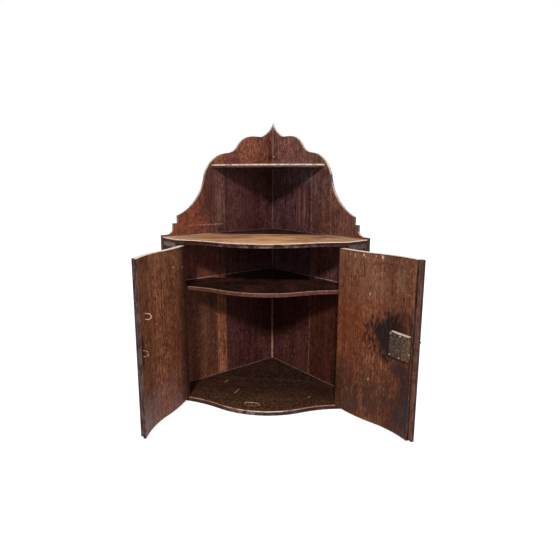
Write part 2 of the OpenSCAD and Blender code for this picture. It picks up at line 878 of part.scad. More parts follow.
module right_upper_hinge_pin() {
    pin(RIGHT, 1);
}

module right_lower_hinge_stile_leaf() {
    stile_leaf(RIGHT, 0);
}

module right_lower_hinge_door_leaf() {
    right_door_leaf(0);
}

module right_lower_hinge_pin() {
    pin(RIGHT, 0);
}

module left_stile_screws() {
    color(brass) for (z = hinge_heights) at_hinge(z) leaf_screw_set(false);
}

module right_stile_screws() {
    color(brass) mirror([1, 0, 0]) for (z = hinge_heights) at_hinge(z) leaf_screw_set(false);
}

module left_door_screws() {
    color(brass) on_left_door() for (z = hinge_heights) at_hinge(z) leaf_screw_set(true);
}

module right_door_screws() {
    color(brass) on_right_door() for (z = hinge_heights) at_hinge(z) leaf_screw_set(true);
}

// ---- Lock --------------------------------------------------------------

// The lock's frame on the right door: z = 0 is the flat seat, +X towards the meeting edge
module on_lock() {
    on_door_face(lock_x, lock_mid_z, lock_seat_r, false) children();
}

// The cap covers the hinge side of the case; its screws go right through into the door
cap_from = -lock_w / 2;
lock_screw_head_r = 2.6;

module at_cap_corners() {
    for (x = [cap_from + screw_in, cap_from + cap_w - screw_in], y = [-1, 1])
        translate([x, y * (lock_h / 2 - screw_in), 0]) children();
}

module lock_screw_set(grow = 0) {
    at_cap_corners() translate([0, 0, lock_d + cap_t])
        wood_screw(lock_screw_head_r, lock_d + cap_t + door_t / 2, grow);
}

// Case: open towards the door, with a boss round each screw and a mouth for the bolt
module lock_case() {
    inside = [lock_w - 2 * lock_wall, lock_h - 2 * lock_wall, lock_d - lock_plate_t - lock_wall];
    color(iron) on_right_door() on_lock() difference() {
        translate([-lock_w / 2, -lock_h / 2, lock_plate_t]) cube([lock_w, lock_h, lock_d - lock_plate_t]);
        difference() {
            translate([-inside[0] / 2, -inside[1] / 2, lock_plate_t - past]) cube(inside + [0, 0, past]);
            at_cap_corners() cube([boss_w, boss_w, 3 * lock_d], center = true);
        }
        bolt_mouth();
        lock_screw_set(fixing_gap);
        translate([0, -key_drop, 0]) cylinder(r = key_pin_r + fixing_gap, h = lock_d + past, $fn = 24);
    }
}

// Cap over the works; the end of the key's pin is riveted in its middle
module lock_cap() {
    color(iron) on_right_door() on_lock() difference() {
        translate([cap_from, -lock_h / 2, lock_d]) cube([cap_w, lock_h, cap_t]);
        lock_screw_set(fixing_gap);
        translate([0, -key_drop, 0])
            cylinder(r = key_pin_r + fixing_gap, h = lock_d + cap_t + past, $fn = 24);
    }
}

module lock_plate() {
    color(iron) on_right_door() on_lock() difference() {
        translate([-lock_w / 2, -lock_h / 2, 0]) cube([lock_w, lock_h, lock_plate_t]);
        translate([0, 0, -past]) keyhole(lock_plate_t + 2 * past);
        lock_screw_set(fixing_gap);
    }
}

// Mouth in the case's edge, for the bolt to slide through
module bolt_mouth() {
    translate([lock_w / 2 - lock_wall - past, -bolt_drop - bolt_h / 2 - bolt_gap, bolt_level - bolt_gap])
        cube([lock_wall + 2 * past, bolt_h + 2 * bolt_gap, bolt_t + 2 * bolt_gap]);
}

// The key's bit turns at this radius and reaches talon_depth into the bolt
bit_r = 8;
talon_depth = 2.6;
talon_w = 4;

// Bolt: a full-height head, and a lower tail with a talon for each turn of the key
module lock_bolt() {
    tip = lock_w / 2 + bolt_rest;
    head = tip - bit_r - 1.5;
    step = bolt_travel / 2;
    tail = tip + step * 1.5 + talon_w;
    tail_h = bolt_drop + bolt_h / 2 - key_drop - bit_r + talon_depth;
    color(iron) on_right_door() on_lock()
        translate([tip, -bolt_drop - bolt_h / 2, bolt_level]) linear_extrude(bolt_t) difference() {
            union() {
                translate([-head, 0]) square([head, bolt_h]);
                translate([-tail, 0]) square([tail, tail_h]);
            }
            for (i = [0.5, 1.5]) translate([-tip - i * step - talon_w / 2, tail_h - talon_depth])
                square([talon_w, talon_depth + past]);
        }
}

// Leaf spring: hangs from the case's roof beside its wall and bends round onto the bolt's head
module bolt_spring() {
    foot = bit_r + 2.5;
    low = -bolt_drop + bolt_h / 2 + 0.3;
    r = lock_w / 2 - lock_wall - 1 - foot;
    color(iron) on_right_door() on_lock() translate([foot, low + r, bolt_level]) {
        rotate([0, 0, -90]) rotate_extrude(angle = 90, $fn = 96)
            translate([r - spring_t, 0]) square([spring_t, bolt_t]);
        translate([r - spring_t, 0, 0]) cube([spring_t, lock_h / 2 - lock_wall - low - r, bolt_t]);
    }
}
spring_t = 0.8;

// The hollow key turns on this pin, which is riveted through the case and the cap
module key_pin() {
    color(iron) on_right_door() on_lock() translate([0, -key_drop, -key_pin_in])
        cylinder(r = key_pin_r, h = key_pin_in + lock_d + cap_t, $fn = 24);
}
key_pin_in = 8;

module lock_screws() {
    color(iron) on_right_door() on_lock() lock_screw_set();
}

// Keyhole right through, round above and straight below
module keyhole(h) {
    translate([0, -key_drop, 0]) {
        cylinder(r = keyhole_r, h = h, $fn = 32);
        translate([-keyhole_slot / 2, -keyhole_drop, 0]) cube([keyhole_slot, keyhole_drop, h]);
    }
}
keyhole_slot = 2.2;

// ---- Fittings ----------------------------------------------------------

escutcheon_w = 24;
escutcheon_t = 1.2;
escutcheon_pin_r = 0.8;
escutcheon_pin_y = 16;
escutcheon_pin_len = 6;

// Shaped brass plate round the keyhole, on the crown of the door's outer face
module keyhole_escutcheon() {
    color(brass) on_right_door() on_outer_face(lock_x, key_z) linear_extrude(escutcheon_t) difference() {
        union() {
            translate([0, escutcheon_w / 6]) circle(r = escutcheon_w / 2, $fn = 64);
            for (x = [-1, 1]) translate([x * escutcheon_w / 6, -escutcheon_w / 3])
                circle(r = escutcheon_w / 3, $fn = 48);
            for (y = [-1, 1]) translate([0, y * escutcheon_pin_y]) circle(r = 5, $fn = 48);
        }
        circle(r = keyhole_r + 0.4, $fn = 32);
        translate([-keyhole_slot / 2 - 0.3, -keyhole_drop - 0.4])
            square([keyhole_slot + 0.6, keyhole_drop]);
        for (y = [-1, 1]) translate([0, y * escutcheon_pin_y])
            circle(r = escutcheon_pin_r + fixing_gap, $fn = 24);
    }
}

module escutcheon_pin_set(grow = 0) {
    on_outer_face(lock_x, key_z) for (y = [-1, 1])
        translate([0, y * escutcheon_pin_y, -escutcheon_pin_len - grow])
            cylinder(r = escutcheon_pin_r + grow, h = escutcheon_pin_len + escutcheon_t + grow, $fn = 24);
}

module escutcheon_pins() {
    color(brass) on_right_door() {
        escutcheon_pin_set();
        on_outer_face(lock_x, key_z) for (y = [-1, 1]) translate([0, y * escutcheon_pin_y, escutcheon_t])
            cylinder(r1 = 2 * escutcheon_pin_r, r2 = escutcheon_pin_r, h = 0.8, $fn = 24);
    }
}

knob_x = hinge_x - knob_in;
knob_z = floor_z + knob_h;
knob_tang_r = 1.5;
knob_tang = 7;
knob_rose_t = 1.5;

// Small turned knob: a rose, a neck and a ball, with a tang driven into the door
module door_knob() {
    color(brass) on_right_door() on_outer_face(knob_x, knob_z) {
        rotate_extrude($fn = 48) {
            square([knob_r + 0.5, knob_rose_t]);
            square([knob_r * 0.55, knob_reach - knob_r]);
            intersection() {
                translate([0, knob_reach - knob_r]) circle(r = knob_r, $fn = 48);
                translate([0, knob_reach - 2 * knob_r]) square([knob_r, 2 * knob_r]);
            }
        }
        translate([0, 0, -knob_tang]) cylinder(r = knob_tang_r, h = knob_tang + 1, $fn = 24);
    }
}

// How deep the legs of the staples are driven in
staple_bite = 7;

// Wire staple: two legs joined by a half ring, standing out by reach
module staple(reach) {
    bend = staple_w / 2;
    leg = reach - bend - wire_r;
    for (y = [-1, 1]) translate([0, y * bend, -staple_bite])
        cylinder(r = wire_r, h = staple_bite + leg, $fn = 24);
    translate([0, 0, leg]) rotate([90, 0, 90])
        rotate_extrude(angle = 180, $fn = 64) translate([bend, 0]) circle(r = wire_r, $fn = 24);
}

module staple_legs(x, z, grow) {
    on_inner_face(x, z) for (y = [-1, 1]) translate([0, y * staple_w / 2, -staple_bite - grow])
        cylinder(r = wire_r + grow, h = staple_bite + past + grow, $fn = 24);
}

left_staple_x = hinge_x - left_staple_in;
left_staple_z = floor_z + left_staple_h;
keep_x = hinge_x - keep_in;

module left_door_staple() {
    color(iron) on_left_door() on_inner_face(left_staple_x, left_staple_z) staple(staple_reach);
}

module lock_keep() {
    color(iron) on_left_door() on_inner_face(keep_x, keep_z) staple(keep_reach);
}

floor_staple_at = [-floor_staple_side, corner_y - floor_staple_out];
floor_staple_angle = -4;
floor_staple_bite = 9;

// Low bridge of wire on the bottom board
module floor_staple() {
    bend = floor_staple_h - wire_r;
    half = floor_staple_len / 2 - wire_r;
    color(iron) translate([floor_staple_at[0], floor_staple_at[1], floor_z])
        rotate([0, 0, floor_staple_angle]) for (m = [0, 1]) mirror([m, 0, 0]) {
            translate([half, 0, -floor_staple_bite]) cylinder(r = wire_r, h = floor_staple_bite, $fn = 24);
            translate([half - bend, 0, 0]) rotate([90, 0, 0]) rotate_extrude(angle = 90, $fn = 64)
                translate([bend, 0]) circle(r = wire_r, $fn = 24);
            translate([0, 0, bend]) rotate([0, 90, 0]) cylinder(r = wire_r, h = half - bend, $fn = 24);
        }
}

module floor_staple_legs(grow) {
    half = floor_staple_len / 2 - wire_r;
    translate([floor_staple_at[0], floor_staple_at[1], floor_z]) rotate([0, 0, floor_staple_angle])
        for (s = [-1, 1]) translate([s * half, 0, -floor_staple_bite - grow])
            cylinder(r = wire_r + grow, h = floor_staple_bite + past + grow, $fn = 24);
}

// Round-headed screw beside the corner, through the right wall
module hanging_screw() {
    head_r = 4.8;
    head_h = 3.2;
    dome_r = (head_r * head_r + head_h * head_h) / (2 * head_h);
    color(iron) on_right_wall(hanging_screw_at) {
        translate([0, 0, -back_t]) cylinder(r = hanging_screw_r, h = back_t + 1, $fn = 24);
        intersection() {
            cylinder(r = head_r, h = head_h, $fn = 32);
            translate([0, 0, head_h - dome_r]) sphere(r = dome_r, $fn = 48);
        }
    }
}

left_back_outer_board();
left_back_strip();
left_back_inner_board();
right_back_outer_board();
right_back_inner_board();
left_stile();
right_stile();
top_front_board();
top_back_board();
bottom_front_board();
bottom_back_board();
inner_shelf();
gallery_shelf();
left_cornice_return();
right_cornice_return();
left_wall_nails();
right_wall_nails();
left_door();
right_door();
left_upper_hinge_stile_leaf();
left_upper_hinge_door_leaf();
left_upper_hinge_pin();
left_lower_hinge_stile_leaf();
left_lower_hinge_door_leaf();
left_lower_hinge_pin();
right_upper_hinge_stile_leaf();
right_upper_hinge_door_leaf();
right_upper_hinge_pin();
right_lower_hinge_stile_leaf();
right_lower_hinge_door_leaf();
right_lower_hinge_pin();
left_stile_screws();
left_door_screws();
right_stile_screws();
right_door_screws();
lock_case();
lock_cap();
lock_plate();
lock_bolt();
bolt_spring();
key_pin();
lock_screws();
keyhole_escutcheon();
escutcheon_pins();
door_knob();
left_door_staple();
lock_keep();
floor_staple();
hanging_screw();
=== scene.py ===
"""Hanging corner cupboard with serpentine doors: aged wood, iron and brass, light and camera.

Metres, +Z up. The origin is the foot of the room corner, -Y runs out into the room.
"""

import math

import bpy
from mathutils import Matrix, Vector

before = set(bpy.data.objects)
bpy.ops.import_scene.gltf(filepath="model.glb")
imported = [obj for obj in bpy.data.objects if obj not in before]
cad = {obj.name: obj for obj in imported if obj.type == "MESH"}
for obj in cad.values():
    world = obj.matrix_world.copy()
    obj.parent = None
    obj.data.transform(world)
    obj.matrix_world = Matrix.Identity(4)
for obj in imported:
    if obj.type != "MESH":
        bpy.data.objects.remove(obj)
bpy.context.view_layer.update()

# Places on the cupboard, in metres
CORNER_Y = -0.018385            # where the good faces of the two walls meet
SHELF_TOP = 0.395
TOP_TOP = 0.554
GALLERY_SHELF_TOP = 0.795
GALLERY_SHELF_UNDER = 0.783
HINGE_X = 0.264458
PIN_Y = -0.404637
DOOR_TOP = 0.534
REBATE_START = 0.2585           # from the hinge pin to the rebate of the right door
LEFT_DOOR_OPEN = 84.5           # degrees from closed
RIGHT_DOOR_OPEN = 119
UP = (0, 0, 1)
DIAGONAL = math.sqrt(0.5)


def turned(x, y, degrees):
    """A level direction turned to the left"""
    c, s = math.cos(math.radians(degrees)), math.sin(math.radians(degrees))
    return (c * x - s * y, s * x + c * y, 0)


# How a board lies: a point on it, then the ways across its grain, out of its good face, and along
# its grain. The doors are given as they stand open. Marks on a board are placed by (across, along).
LIES = {
    "left wall":
        ((0, CORNER_Y, 0), (-DIAGONAL, -DIAGONAL, 0), (DIAGONAL, -DIAGONAL, 0), UP),
    "right wall":
        ((0, CORNER_Y, 0), (DIAGONAL, -DIAGONAL, 0), (-DIAGONAL, -DIAGONAL, 0), UP),
    "left door":
        ((-HINGE_X, PIN_Y, 0), turned(1, 0, -LEFT_DOOR_OPEN), turned(0, 1, -LEFT_DOOR_OPEN), UP),
    "right door":
        ((HINGE_X, PIN_Y, 0), turned(-1, 0, RIGHT_DOOR_OPEN), turned(0, 1, RIGHT_DOOR_OPEN), UP),
    "level": ((0, 0, 0), (0, 1, 0), UP, (1, 0, 0)),
    "upright": ((0, 0, 0), (1, 0, 0), (0, -1, 0), UP),
}


def srgb(r, g, b):
    """Colour from everyday 0-255 values"""
    return tuple(c / 255 / 12.92 if c <= 10 else ((c / 255 + 0.055) / 1.055) ** 2.4
                 for c in (r, g, b))


WORN = srgb(176, 138, 116)
DUST = srgb(150, 122, 104)
# Dark grime, and also the colour of the painted shade behind the inner shelf
GRIME_AND_SHADE = srgb(20, 10, 9)


# ---- Writing a finish ---------------------------------------------------------------

class Finish:
    """A material under construction. Its methods add nodes and return sockets."""

    def __init__(self, name, tree=None):
        if tree is None:
            self.material = bpy.data.materials.new(name)
            self.material.use_nodes = True
            tree = self.material.node_tree
            tree.nodes.clear()
        self.tree = tree

    def node(self, kind, inputs=None, **settings):
        made = self.tree.nodes.new(kind)
        for key, value in settings.items():
            setattr(made, key, value)
        for key, value in (inputs or {}).items():
            self.put(made.inputs[key], value)
        return made

    def put(self, socket, value):
        if isinstance(value, bpy.types.NodeSocket):
            self.tree.links.new(value, socket)
        elif value is not None:
            if socket.type == "RGBA" and len(value) == 3:
                value = (*value, 1)
            socket.default_value = value

    def math(self, operation, a, b=None, clamp=False):
        made = self.node("ShaderNodeMath", operation=operation, use_clamp=clamp)
        self.put(made.inputs[0], a)
        self.put(made.inputs[1], b)
        return made.outputs[0]

    def add(self, a, b):
        return self.math("ADD", a, b)

    def times(self, first, *others):
        for other in others:
            first = self.math("MULTIPLY", first, other)
        return first

    def ramp(self, value, low, high, to_low=0.0, to_high=1.0):
        """value from low..high turned smoothly into to_low..to_high"""
        made = self.node("ShaderNodeMapRange", interpolation_type="SMOOTHSTEP")
        for key, given in zip(range(5), (value, low, high, to_low, to_high)):
            self.put(made.inputs[key], given)
        return made.outputs[0]

    def vector(self, x, y, z):
        made = self.node("ShaderNodeCombineXYZ")
        for socket, value in zip(made.inputs, (x, y, z)):
            self.put(socket, value)
        return made.outputs[0]

    def vmath(self, operation, a, b=None):
        made = self.node("ShaderNodeVectorMath", operation=operation)
        self.put(made.inputs[0], a)
        self.put(made.inputs[1], b)
        is_number = operation in ("DOT_PRODUCT", "DISTANCE", "LENGTH")
        return made.outputs["Value" if is_number else "Vector"]

    def noise(self, vector, scale=1.0, detail=3.0, roughness=0.55):
        return self.node("ShaderNodeTexNoise", {
            "Vector": vector, "Scale": scale, "Detail": detail, "Roughness": roughness}).outputs[0]

    def mix(self, amount, a, b, blend="MIX"):
        made = self.node("ShaderNodeMix", data_type="RGBA", blend_type=blend)
        # The node also has sockets for numbers and vectors: its colours go in at 6 and 7
        self.put(made.inputs[0], amount)
        self.put(made.inputs[6], a)
        self.put(made.inputs[7], b)
        return made.outputs[2]

    def place(self):
        """Position on the piece itself, which moves along with it"""
        return self.node("ShaderNodeTexCoord").outputs["Object"]

    def facing(self):
        """Direction of the surface, in the piece's own axes"""
        return self.node("ShaderNodeTexCoord").outputs["Normal"]

    def edge_masks(self, radius=0.002):
        """(worn arrises, dusty inner corners), each 0 to 1"""
        surface = self.node("ShaderNodeNewGeometry").outputs["Normal"]
        rounded = self.node("ShaderNodeBevel", {"Radius": radius}, samples=6).outputs[0]
        turn = self.math("SUBTRACT", 1.0, self.vmath("DOT_PRODUCT", surface, rounded))
        openness = self.node("ShaderNodeAmbientOcclusion", {"Distance": 0.005}, samples=8)
        return self.ramp(turn, 0.01, 0.16), self.ramp(openness.outputs["AO"], 0.66, 0.40)

    def shade(self, color, roughness, height=None, depth=0.0005, metallic=0.0, specular=0.12):
        shader = self.node("ShaderNodeBsdfPrincipled", {
            "Base Color": color, "Roughness": roughness, "Metallic": metallic,
            "Specular IOR Level": specular})
        if height is not None:
            bump = self.node("ShaderNodeBump", {
                "Height": height, "Distance": depth, "Strength": 1.0})
            self.tree.links.new(bump.outputs[0], shader.inputs["Normal"])
        output = self.node("ShaderNodeOutputMaterial")
        self.tree.links.new(shader.outputs[0], output.inputs[0])
        return self.material


class Board(Finish):
    """The finish of one board, which knows how the board lies and collects its colour."""

    def __init__(self, name, lie):
        super().__init__(name)
        origin, *ways = LIES[lie]
        self.at = self.place()
        offset = self.vmath("SUBTRACT", self.at, origin)
        self.across, self.through, self.along = (
            self.vmath("DOT_PRODUCT", offset, way) for way in ways)
        facing = self.facing()
        self.across_facing, self.out_facing, self.along_facing = (
            self.vmath("DOT_PRODUCT", facing, way) for way in ways)
        self.up_facing = self.out_facing if lie == "level" else self.along_facing
        self.face = self.ramp(self.out_facing, 0.45, 0.65)
        self.flat = self.vector(self.across, 0.0, self.along)
        self.color = None

    def lay(self, amount, paint, blend="MIX"):
        """Paint over the colour so far"""
        self.color = self.mix(amount, self.color, paint, blend)

    def mark(self, amount, paint, *masks):
        """Paint over the good face only"""
        self.lay(self.times(self.face, amount, *masks), paint)

    def fleck(self, scale, low, high, tall=1.0, detail=2.0, shift=0.0):
        """Scattered flecks: tall over 1 draws them out along the grain"""
        vector = self.vector(self.times(self.across, scale),
                             self.add(self.times(self.through, scale), shift),
                             self.times(self.along, scale / tall))
        return self.ramp(self.noise(vector, detail=detail, roughness=0.6), low, high)

    def spot(self, across, along, radius, ragged=0.0, soft=0.5, tall=1.0):
        """A patch round a point of the good face: 1 inside, fading out over the soft part"""
        offset = self.vmath("SUBTRACT", self.flat, (across, 0, along))
        away = self.vmath("LENGTH", self.vmath("MULTIPLY", offset, (1, 0, 1 / tall)))
        if ragged:
            wild = self.noise(self.flat, 1.7 / radius, detail=4, roughness=0.65)
            away = self.add(away, self.times(self.add(wild, -0.5), ragged * radius))
        return self.ramp(away, radius, radius * (1 - soft))

    def stroke(self, start, end, width):
        """A thin line between two points of the good face, 1 along its middle"""
        start, end = (Vector((across, 0, along)) for across, along in (start, end))
        way = end - start
        offset = self.vmath("SUBTRACT", self.flat, start)
        part = self.math("DIVIDE", self.vmath("DOT_PRODUCT", offset, way), way.length_squared,
                         clamp=True)
        nearest = self.node("ShaderNodeVectorMath", {0: way, "Scale": part}, operation="SCALE")
        return self.ramp(self.vmath("DISTANCE", offset, nearest.outputs[0]), width, width * 0.3)

    def band(self, value, low, high, soft):
        """1 where value lies between low and high, fading over soft on either side"""
        return self.times(self.ramp(value, low - soft, low), self.ramp(value, high + soft, high))


# ---- Wood ---------------------------------------------------------------------------

def grain_group():
    """Growth bands, streaks, flecks and pores of a plank, from its own three directions"""
    tree = bpy.data.node_groups.new("plank grain", "ShaderNodeTree")
    for way, kind, names in (
            ("INPUT", "NodeSocketFloat", ("Across", "Through", "Along", "Seed", "Wander", "Rings")),
            ("INPUT", "NodeSocketColor", ("Dark", "Middle", "Light")),
            ("OUTPUT", "NodeSocketColor", ("Color",)),
            ("OUTPUT", "NodeSocketFloat", ("Height", "Tone"))):
        for name in names:
            tree.interface.new_socket(name=name, in_out=way, socket_type=kind)
    f = Finish("", tree)
    given = f.node("NodeGroupInput").outputs
    across, through, along, seed = (given[name] for name in ("Across", "Through", "Along", "Seed"))

    def drawn(a, scale_across, scale_along, offset, detail=3, roughness=0.55):
        """Noise stretched along the grain"""
        vector = f.vector(f.times(a, scale_across),
                          f.add(f.times(through, scale_across), f.add(seed, offset)),
                          f.times(along, scale_along))
        return f.noise(vector, detail=detail, roughness=roughness)

    drift = f.times(f.add(drawn(across, 5, 1.6, 0.0, 2), -0.5), given["Wander"])
    curl = f.times(f.add(drawn(across, 14, 9, 2.2, 2), -0.5), 0.008)
    wandering = f.add(across, f.add(drift, curl))
    bands = drawn(wandering, 30, 1.1, 3.1)
    streaks = drawn(wandering, 150, 5, 7.7, 4, 0.6)
    flecks = drawn(wandering, 330, 70, 1.3, 3, 0.65)
    mottle = drawn(across, 48, 40, 4.4, 5, 0.65)
    grit = drawn(across, 420, 260, 9.1, 2)
    pores = drawn(wandering, 1300, 90, 5.9, 2, 0.5)

    tone = f.add(f.add(f.times(bands, 0.14), f.times(streaks, 0.22)),
                 f.add(f.times(flecks, 0.50), f.times(mottle, 0.14)))
    low = f.mix(f.ramp(tone, 0.42, 0.50), given["Dark"], given["Middle"])
    color = f.mix(f.ramp(tone, 0.50, 0.585), low, given["Light"])

    # Growth rings cut square on, which show only here and there
    ring_width = 0.0085
    ring = f.math("SINE", f.times(wandering, 2 * math.pi / ring_width))
    shown = f.times(f.ramp(drawn(across, 11, 1.7, 6.6, 1), 0.50, 0.60), given["Rings"])
    color = f.mix(f.times(shown, f.ramp(ring, 0.25, 0.95, 0.0, 0.5)), color, given["Light"])
    color = f.mix(f.times(shown, f.ramp(ring, -0.25, -0.9, 0.0, 0.45)), color, given["Dark"])

    fine = f.ramp(grit, 0.34, 0.66, 0.70, 1.26)
    color = f.mix(1.0, color, f.vector(fine, fine, fine), "MULTIPLY")
    pore = f.ramp(pores, 0.60, 0.70)
    color = f.mix(f.times(pore, 0.4), color, given["Dark"])

    out = f.node("NodeGroupOutput")
    tree.links.new(color, out.inputs["Color"])
    tree.links.new(f.add(f.add(f.times(flecks, 0.5), f.times(streaks, 0.5)), f.times(pore, -0.3)),
                   out.inputs["Height"])
    tree.links.new(tone, out.inputs["Tone"])
    return tree


GRAIN = grain_group()


def polished_outside(b, tint):
    """Outer face of a door: polished, grimy by its meeting edge, worn where hands took hold"""
    meeting_edge = 0.262
    hold_across, hold_height = 0.225, 0.262
    outside = b.ramp(b.out_facing, -0.3, -0.6)
    b.lay(outside, tint, "MULTIPLY")
    edge = b.ramp(b.across, meeting_edge - 0.037, meeting_edge, 0.0, 0.65)
    b.lay(b.times(outside, edge, b.fleck(40, 0.25, 0.55, tall=4, shift=7)), GRIME_AND_SHADE)
    worn = b.times(b.spot(hold_across, hold_height, 0.050, ragged=1.2, soft=0.9, tall=1.5),
                   b.fleck(90, 0.36, 0.60, tall=4))
    b.lay(b.times(outside, worn, 0.32), srgb(128, 78, 48))
    return outside


def wood(name, lie, dark, middle, light, seed, wander=0.03, rings=0.3, clouds=(0.80, 1.16),
         warmth=0.25, raw=0.0, polish=None, marks=None, edges=None, wear=0.5):
    """Old waxed wood, in the grain's dark, middle and light colours.

    wander and rings: how far the grain bends, and how much its growth rings show.
    clouds: the darkest and lightest of the old polish. warmth: how much of it is reddish.
    raw: how bare the back is. polish: tint of a polished outer face.
    marks and edges add what belongs to this board's faces and cut edges. wear: of its arrises.
    """
    b = Board(name, lie)
    grain = b.node("ShaderNodeGroup", node_tree=GRAIN)
    for key, value in {
            "Across": b.across, "Through": b.through, "Along": b.along,
            "Seed": seed, "Wander": wander, "Rings": rings,
            "Dark": srgb(*dark), "Middle": srgb(*middle), "Light": srgb(*light)}.items():
        b.put(grain.inputs[key], value)
    b.color, b.tone = grain.outputs["Color"], grain.outputs["Tone"]

    # Old polish: thicker and darker in some places, rubbed thin in others
    moved = b.vmath("ADD", b.at, (seed, seed * 0.7, 0))
    cloud = b.noise(moved, 9, detail=6, roughness=0.62)
    level = b.ramp(cloud, 0.34, 0.66, *clouds)
    b.lay(1.0, b.vector(level, level, level), "MULTIPLY")
    warm = b.noise(moved, 16, detail=3)
    b.lay(b.ramp(warm, 0.46, 0.66, 0.0, warmth), srgb(116, 52, 32))
    b.lay(b.times(b.fleck(340, 0.58, 0.68, tall=1.6, shift=seed), 0.34), DUST)
    b.lay(b.times(b.fleck(300, 0.62, 0.72, tall=3, shift=seed + 4), 0.5), GRIME_AND_SHADE)
    if raw:
        bare = b.mix(b.ramp(b.tone, 0.42, 0.6), srgb(74, 56, 42), srgb(138, 112, 88))
        b.lay(b.times(b.ramp(b.out_facing, -0.5, -0.8), raw), bare)
    rough = b.ramp(cloud, 0.3, 0.7, 0.44, 0.64)
    if polish:
        rough = b.add(rough, b.times(polished_outside(b, polish), -0.16))
    if marks:
        marks(b)
    if edges:
        edges(b)

    arris, nook = b.edge_masks()
    rubbed = b.ramp(b.noise(b.at, 70, detail=5, roughness=0.68), 0.36, 0.62)
    b.lay(b.times(arris, rubbed, wear), WORN)
    patchy = b.ramp(b.noise(b.at, 45, detail=4, roughness=0.6), 0.3, 0.62)
    b.lay(b.times(nook, patchy, 0.5), DUST)

    dents = b.ramp(b.noise(b.at, 130, detail=2), 0.62, 0.75)
    return b.shade(b.color, rough, b.add(grain.outputs["Height"], b.times(dents, -0.5)))


# ---- Cut edges ------------------------------------------------------------------------

def gallery_outline(riser):
    """Sawn outline of a wall: pale and dusty on top with a painted highlight, dark by the good face
    with grime and painted shade.

    riser: colour of its steep parts, which are painted darker as shade.
    """
    def edges(b):
        cut = b.ramp(b.math("ABSOLUTE", b.out_facing), 0.62, 0.42)
        worn = b.noise(b.at, 95, detail=5, roughness=0.7)
        # Pale on the upward cut faces, dust and a painted highlight; dark by the good face, grime
        # and painted shade
        paint = b.mix(b.ramp(worn, 0.42, 0.62), srgb(202, 184, 164), srgb(132, 108, 96))
        paint = b.mix(b.ramp(b.through, -0.0042, -0.0026, 0.0, 0.9), paint, srgb(48, 30, 26))
        # Painted shade on the steep parts
        steep = b.times(b.ramp(b.up_facing, 0.42, 0.24), b.ramp(worn, 0.3, 0.55, 0.98, 0.8))
        paint = b.mix(steep, paint, srgb(*riser))
        below_top = b.ramp(b.along, TOP_TOP + 0.002, TOP_TOP - 0.002, 0.0, 0.9)
        b.lay(cut, b.mix(below_top, paint, srgb(38, 26, 24)))
    return edges


def door_edges(rebate, side_dark, side_light):
    """Cream dust on top, dark flecked colour on the side edges. rebate: where a rebate starts, or
    0.
    """
    def edges(b):
        side_flecks = b.fleck(110, 0.38, 0.62, tall=3, detail=5)
        b.lay(b.ramp(b.math("ABSOLUTE", b.across_facing), 0.45, 0.65),
              b.mix(side_flecks, srgb(*side_dark), srgb(*side_light)))
        patch = b.noise(b.at, 75, detail=5, roughness=0.7)
        cream = b.mix(b.ramp(patch, 0.54, 0.70), srgb(250, 236, 218), srgb(190, 150, 120))
        if rebate:
            step = b.ramp(b.across, rebate - 0.001, rebate + 0.001)
            b.lay(b.times(step, b.face), b.mix(side_flecks, srgb(88, 50, 40), srgb(132, 86, 70)))
            cream = b.mix(step, cream, srgb(52, 32, 28))
        b.lay(b.ramp(b.up_facing, 0.45, 0.65), cream)
    return edges


def rounded_edge(arris_highlight_color, side_color, speck_color, amount=0.9, highlight_reach=0.0):
    """Front edge of a level board: a rubbed arris with a painted highlight, over a darker side.

    The last argument: how far from the middle the brighter rubbed length, a painted highlight,
    reaches.
    """
    high, middle, low = 0.94, 0.72, 0.40    # how far up the surface faces, down over the arris

    def edges(b):
        worn = b.noise(b.at, 85, detail=5, roughness=0.7)
        side = b.mix(b.times(b.ramp(worn, 0.54, 0.66), 0.6), srgb(*side_color), srgb(*speck_color))
        b.lay(b.ramp(b.up_facing, middle, low), side)
        # Painted highlight along the arris, over rubbed wear
        line = b.times(b.ramp(b.up_facing, high + 0.03, high - 0.05),
                       b.ramp(b.up_facing, low, middle))
        b.lay(b.times(line, b.ramp(worn, 0.34, 0.56, 0.35, 1.0), amount), srgb(*arris_highlight_color))
        if highlight_reach:
            # Brighter painted highlight along the rubbed middle length
            middle_length = b.ramp(b.math("ABSOLUTE", b.add(b.along, -0.01)), highlight_reach * 1.5, highlight_reach * 0.5)
            rubbed = b.ramp(b.noise(b.at, 34, detail=5, roughness=0.6), 0.36, 0.60)
            b.lay(b.times(line, middle_length, rubbed, 0.9), srgb(240, 212, 190))
            # Painted reflection low on the rounded edge
            lower = b.band(b.up_facing, -0.35, 0.20, 0.1)
            reflection_patches = b.ramp(b.noise(b.at, 50, detail=4), 0.44, 0.62)
            b.lay(b.times(lower, middle_length, reflection_patches, 0.4), srgb(160, 134, 130))
    return edges


def gallery_shelf_edge(b):
    """Rounded edge, a painted highlight on its upper half and painted shade below, and dust along
    the front of its top
    """
    worn = b.noise(b.at, 80, detail=5, roughness=0.7)
    side = b.ramp(b.out_facing, 0.70, 0.45)
    height = b.node("ShaderNodeSeparateXYZ", {"Vector": b.at}).outputs[2]
    upper = b.ramp(height, GALLERY_SHELF_TOP - 0.0068, GALLERY_SHELF_TOP - 0.0052)
    paint = b.mix(upper, b.mix(b.ramp(worn, 0.4, 0.6), srgb(42, 28, 25), srgb(84, 62, 54)),
                  b.mix(b.ramp(worn, 0.44, 0.62), srgb(214, 196, 176), srgb(150, 120, 104)))
    b.lay(side, paint)
    b.lay(b.times(b.ramp(b.out_facing, 0.70, 0.96), b.ramp(b.across, -0.19, -0.215), 0.5), DUST)


# ---- Marks of single boards -------------------------------------------------------------

def painted_shade_below(b, high, soft, tint):
    """Painted shade: darker below a height"""
    b.lay(b.times(b.face, b.ramp(b.along, high + soft, high - soft)), tint, "MULTIPLY")


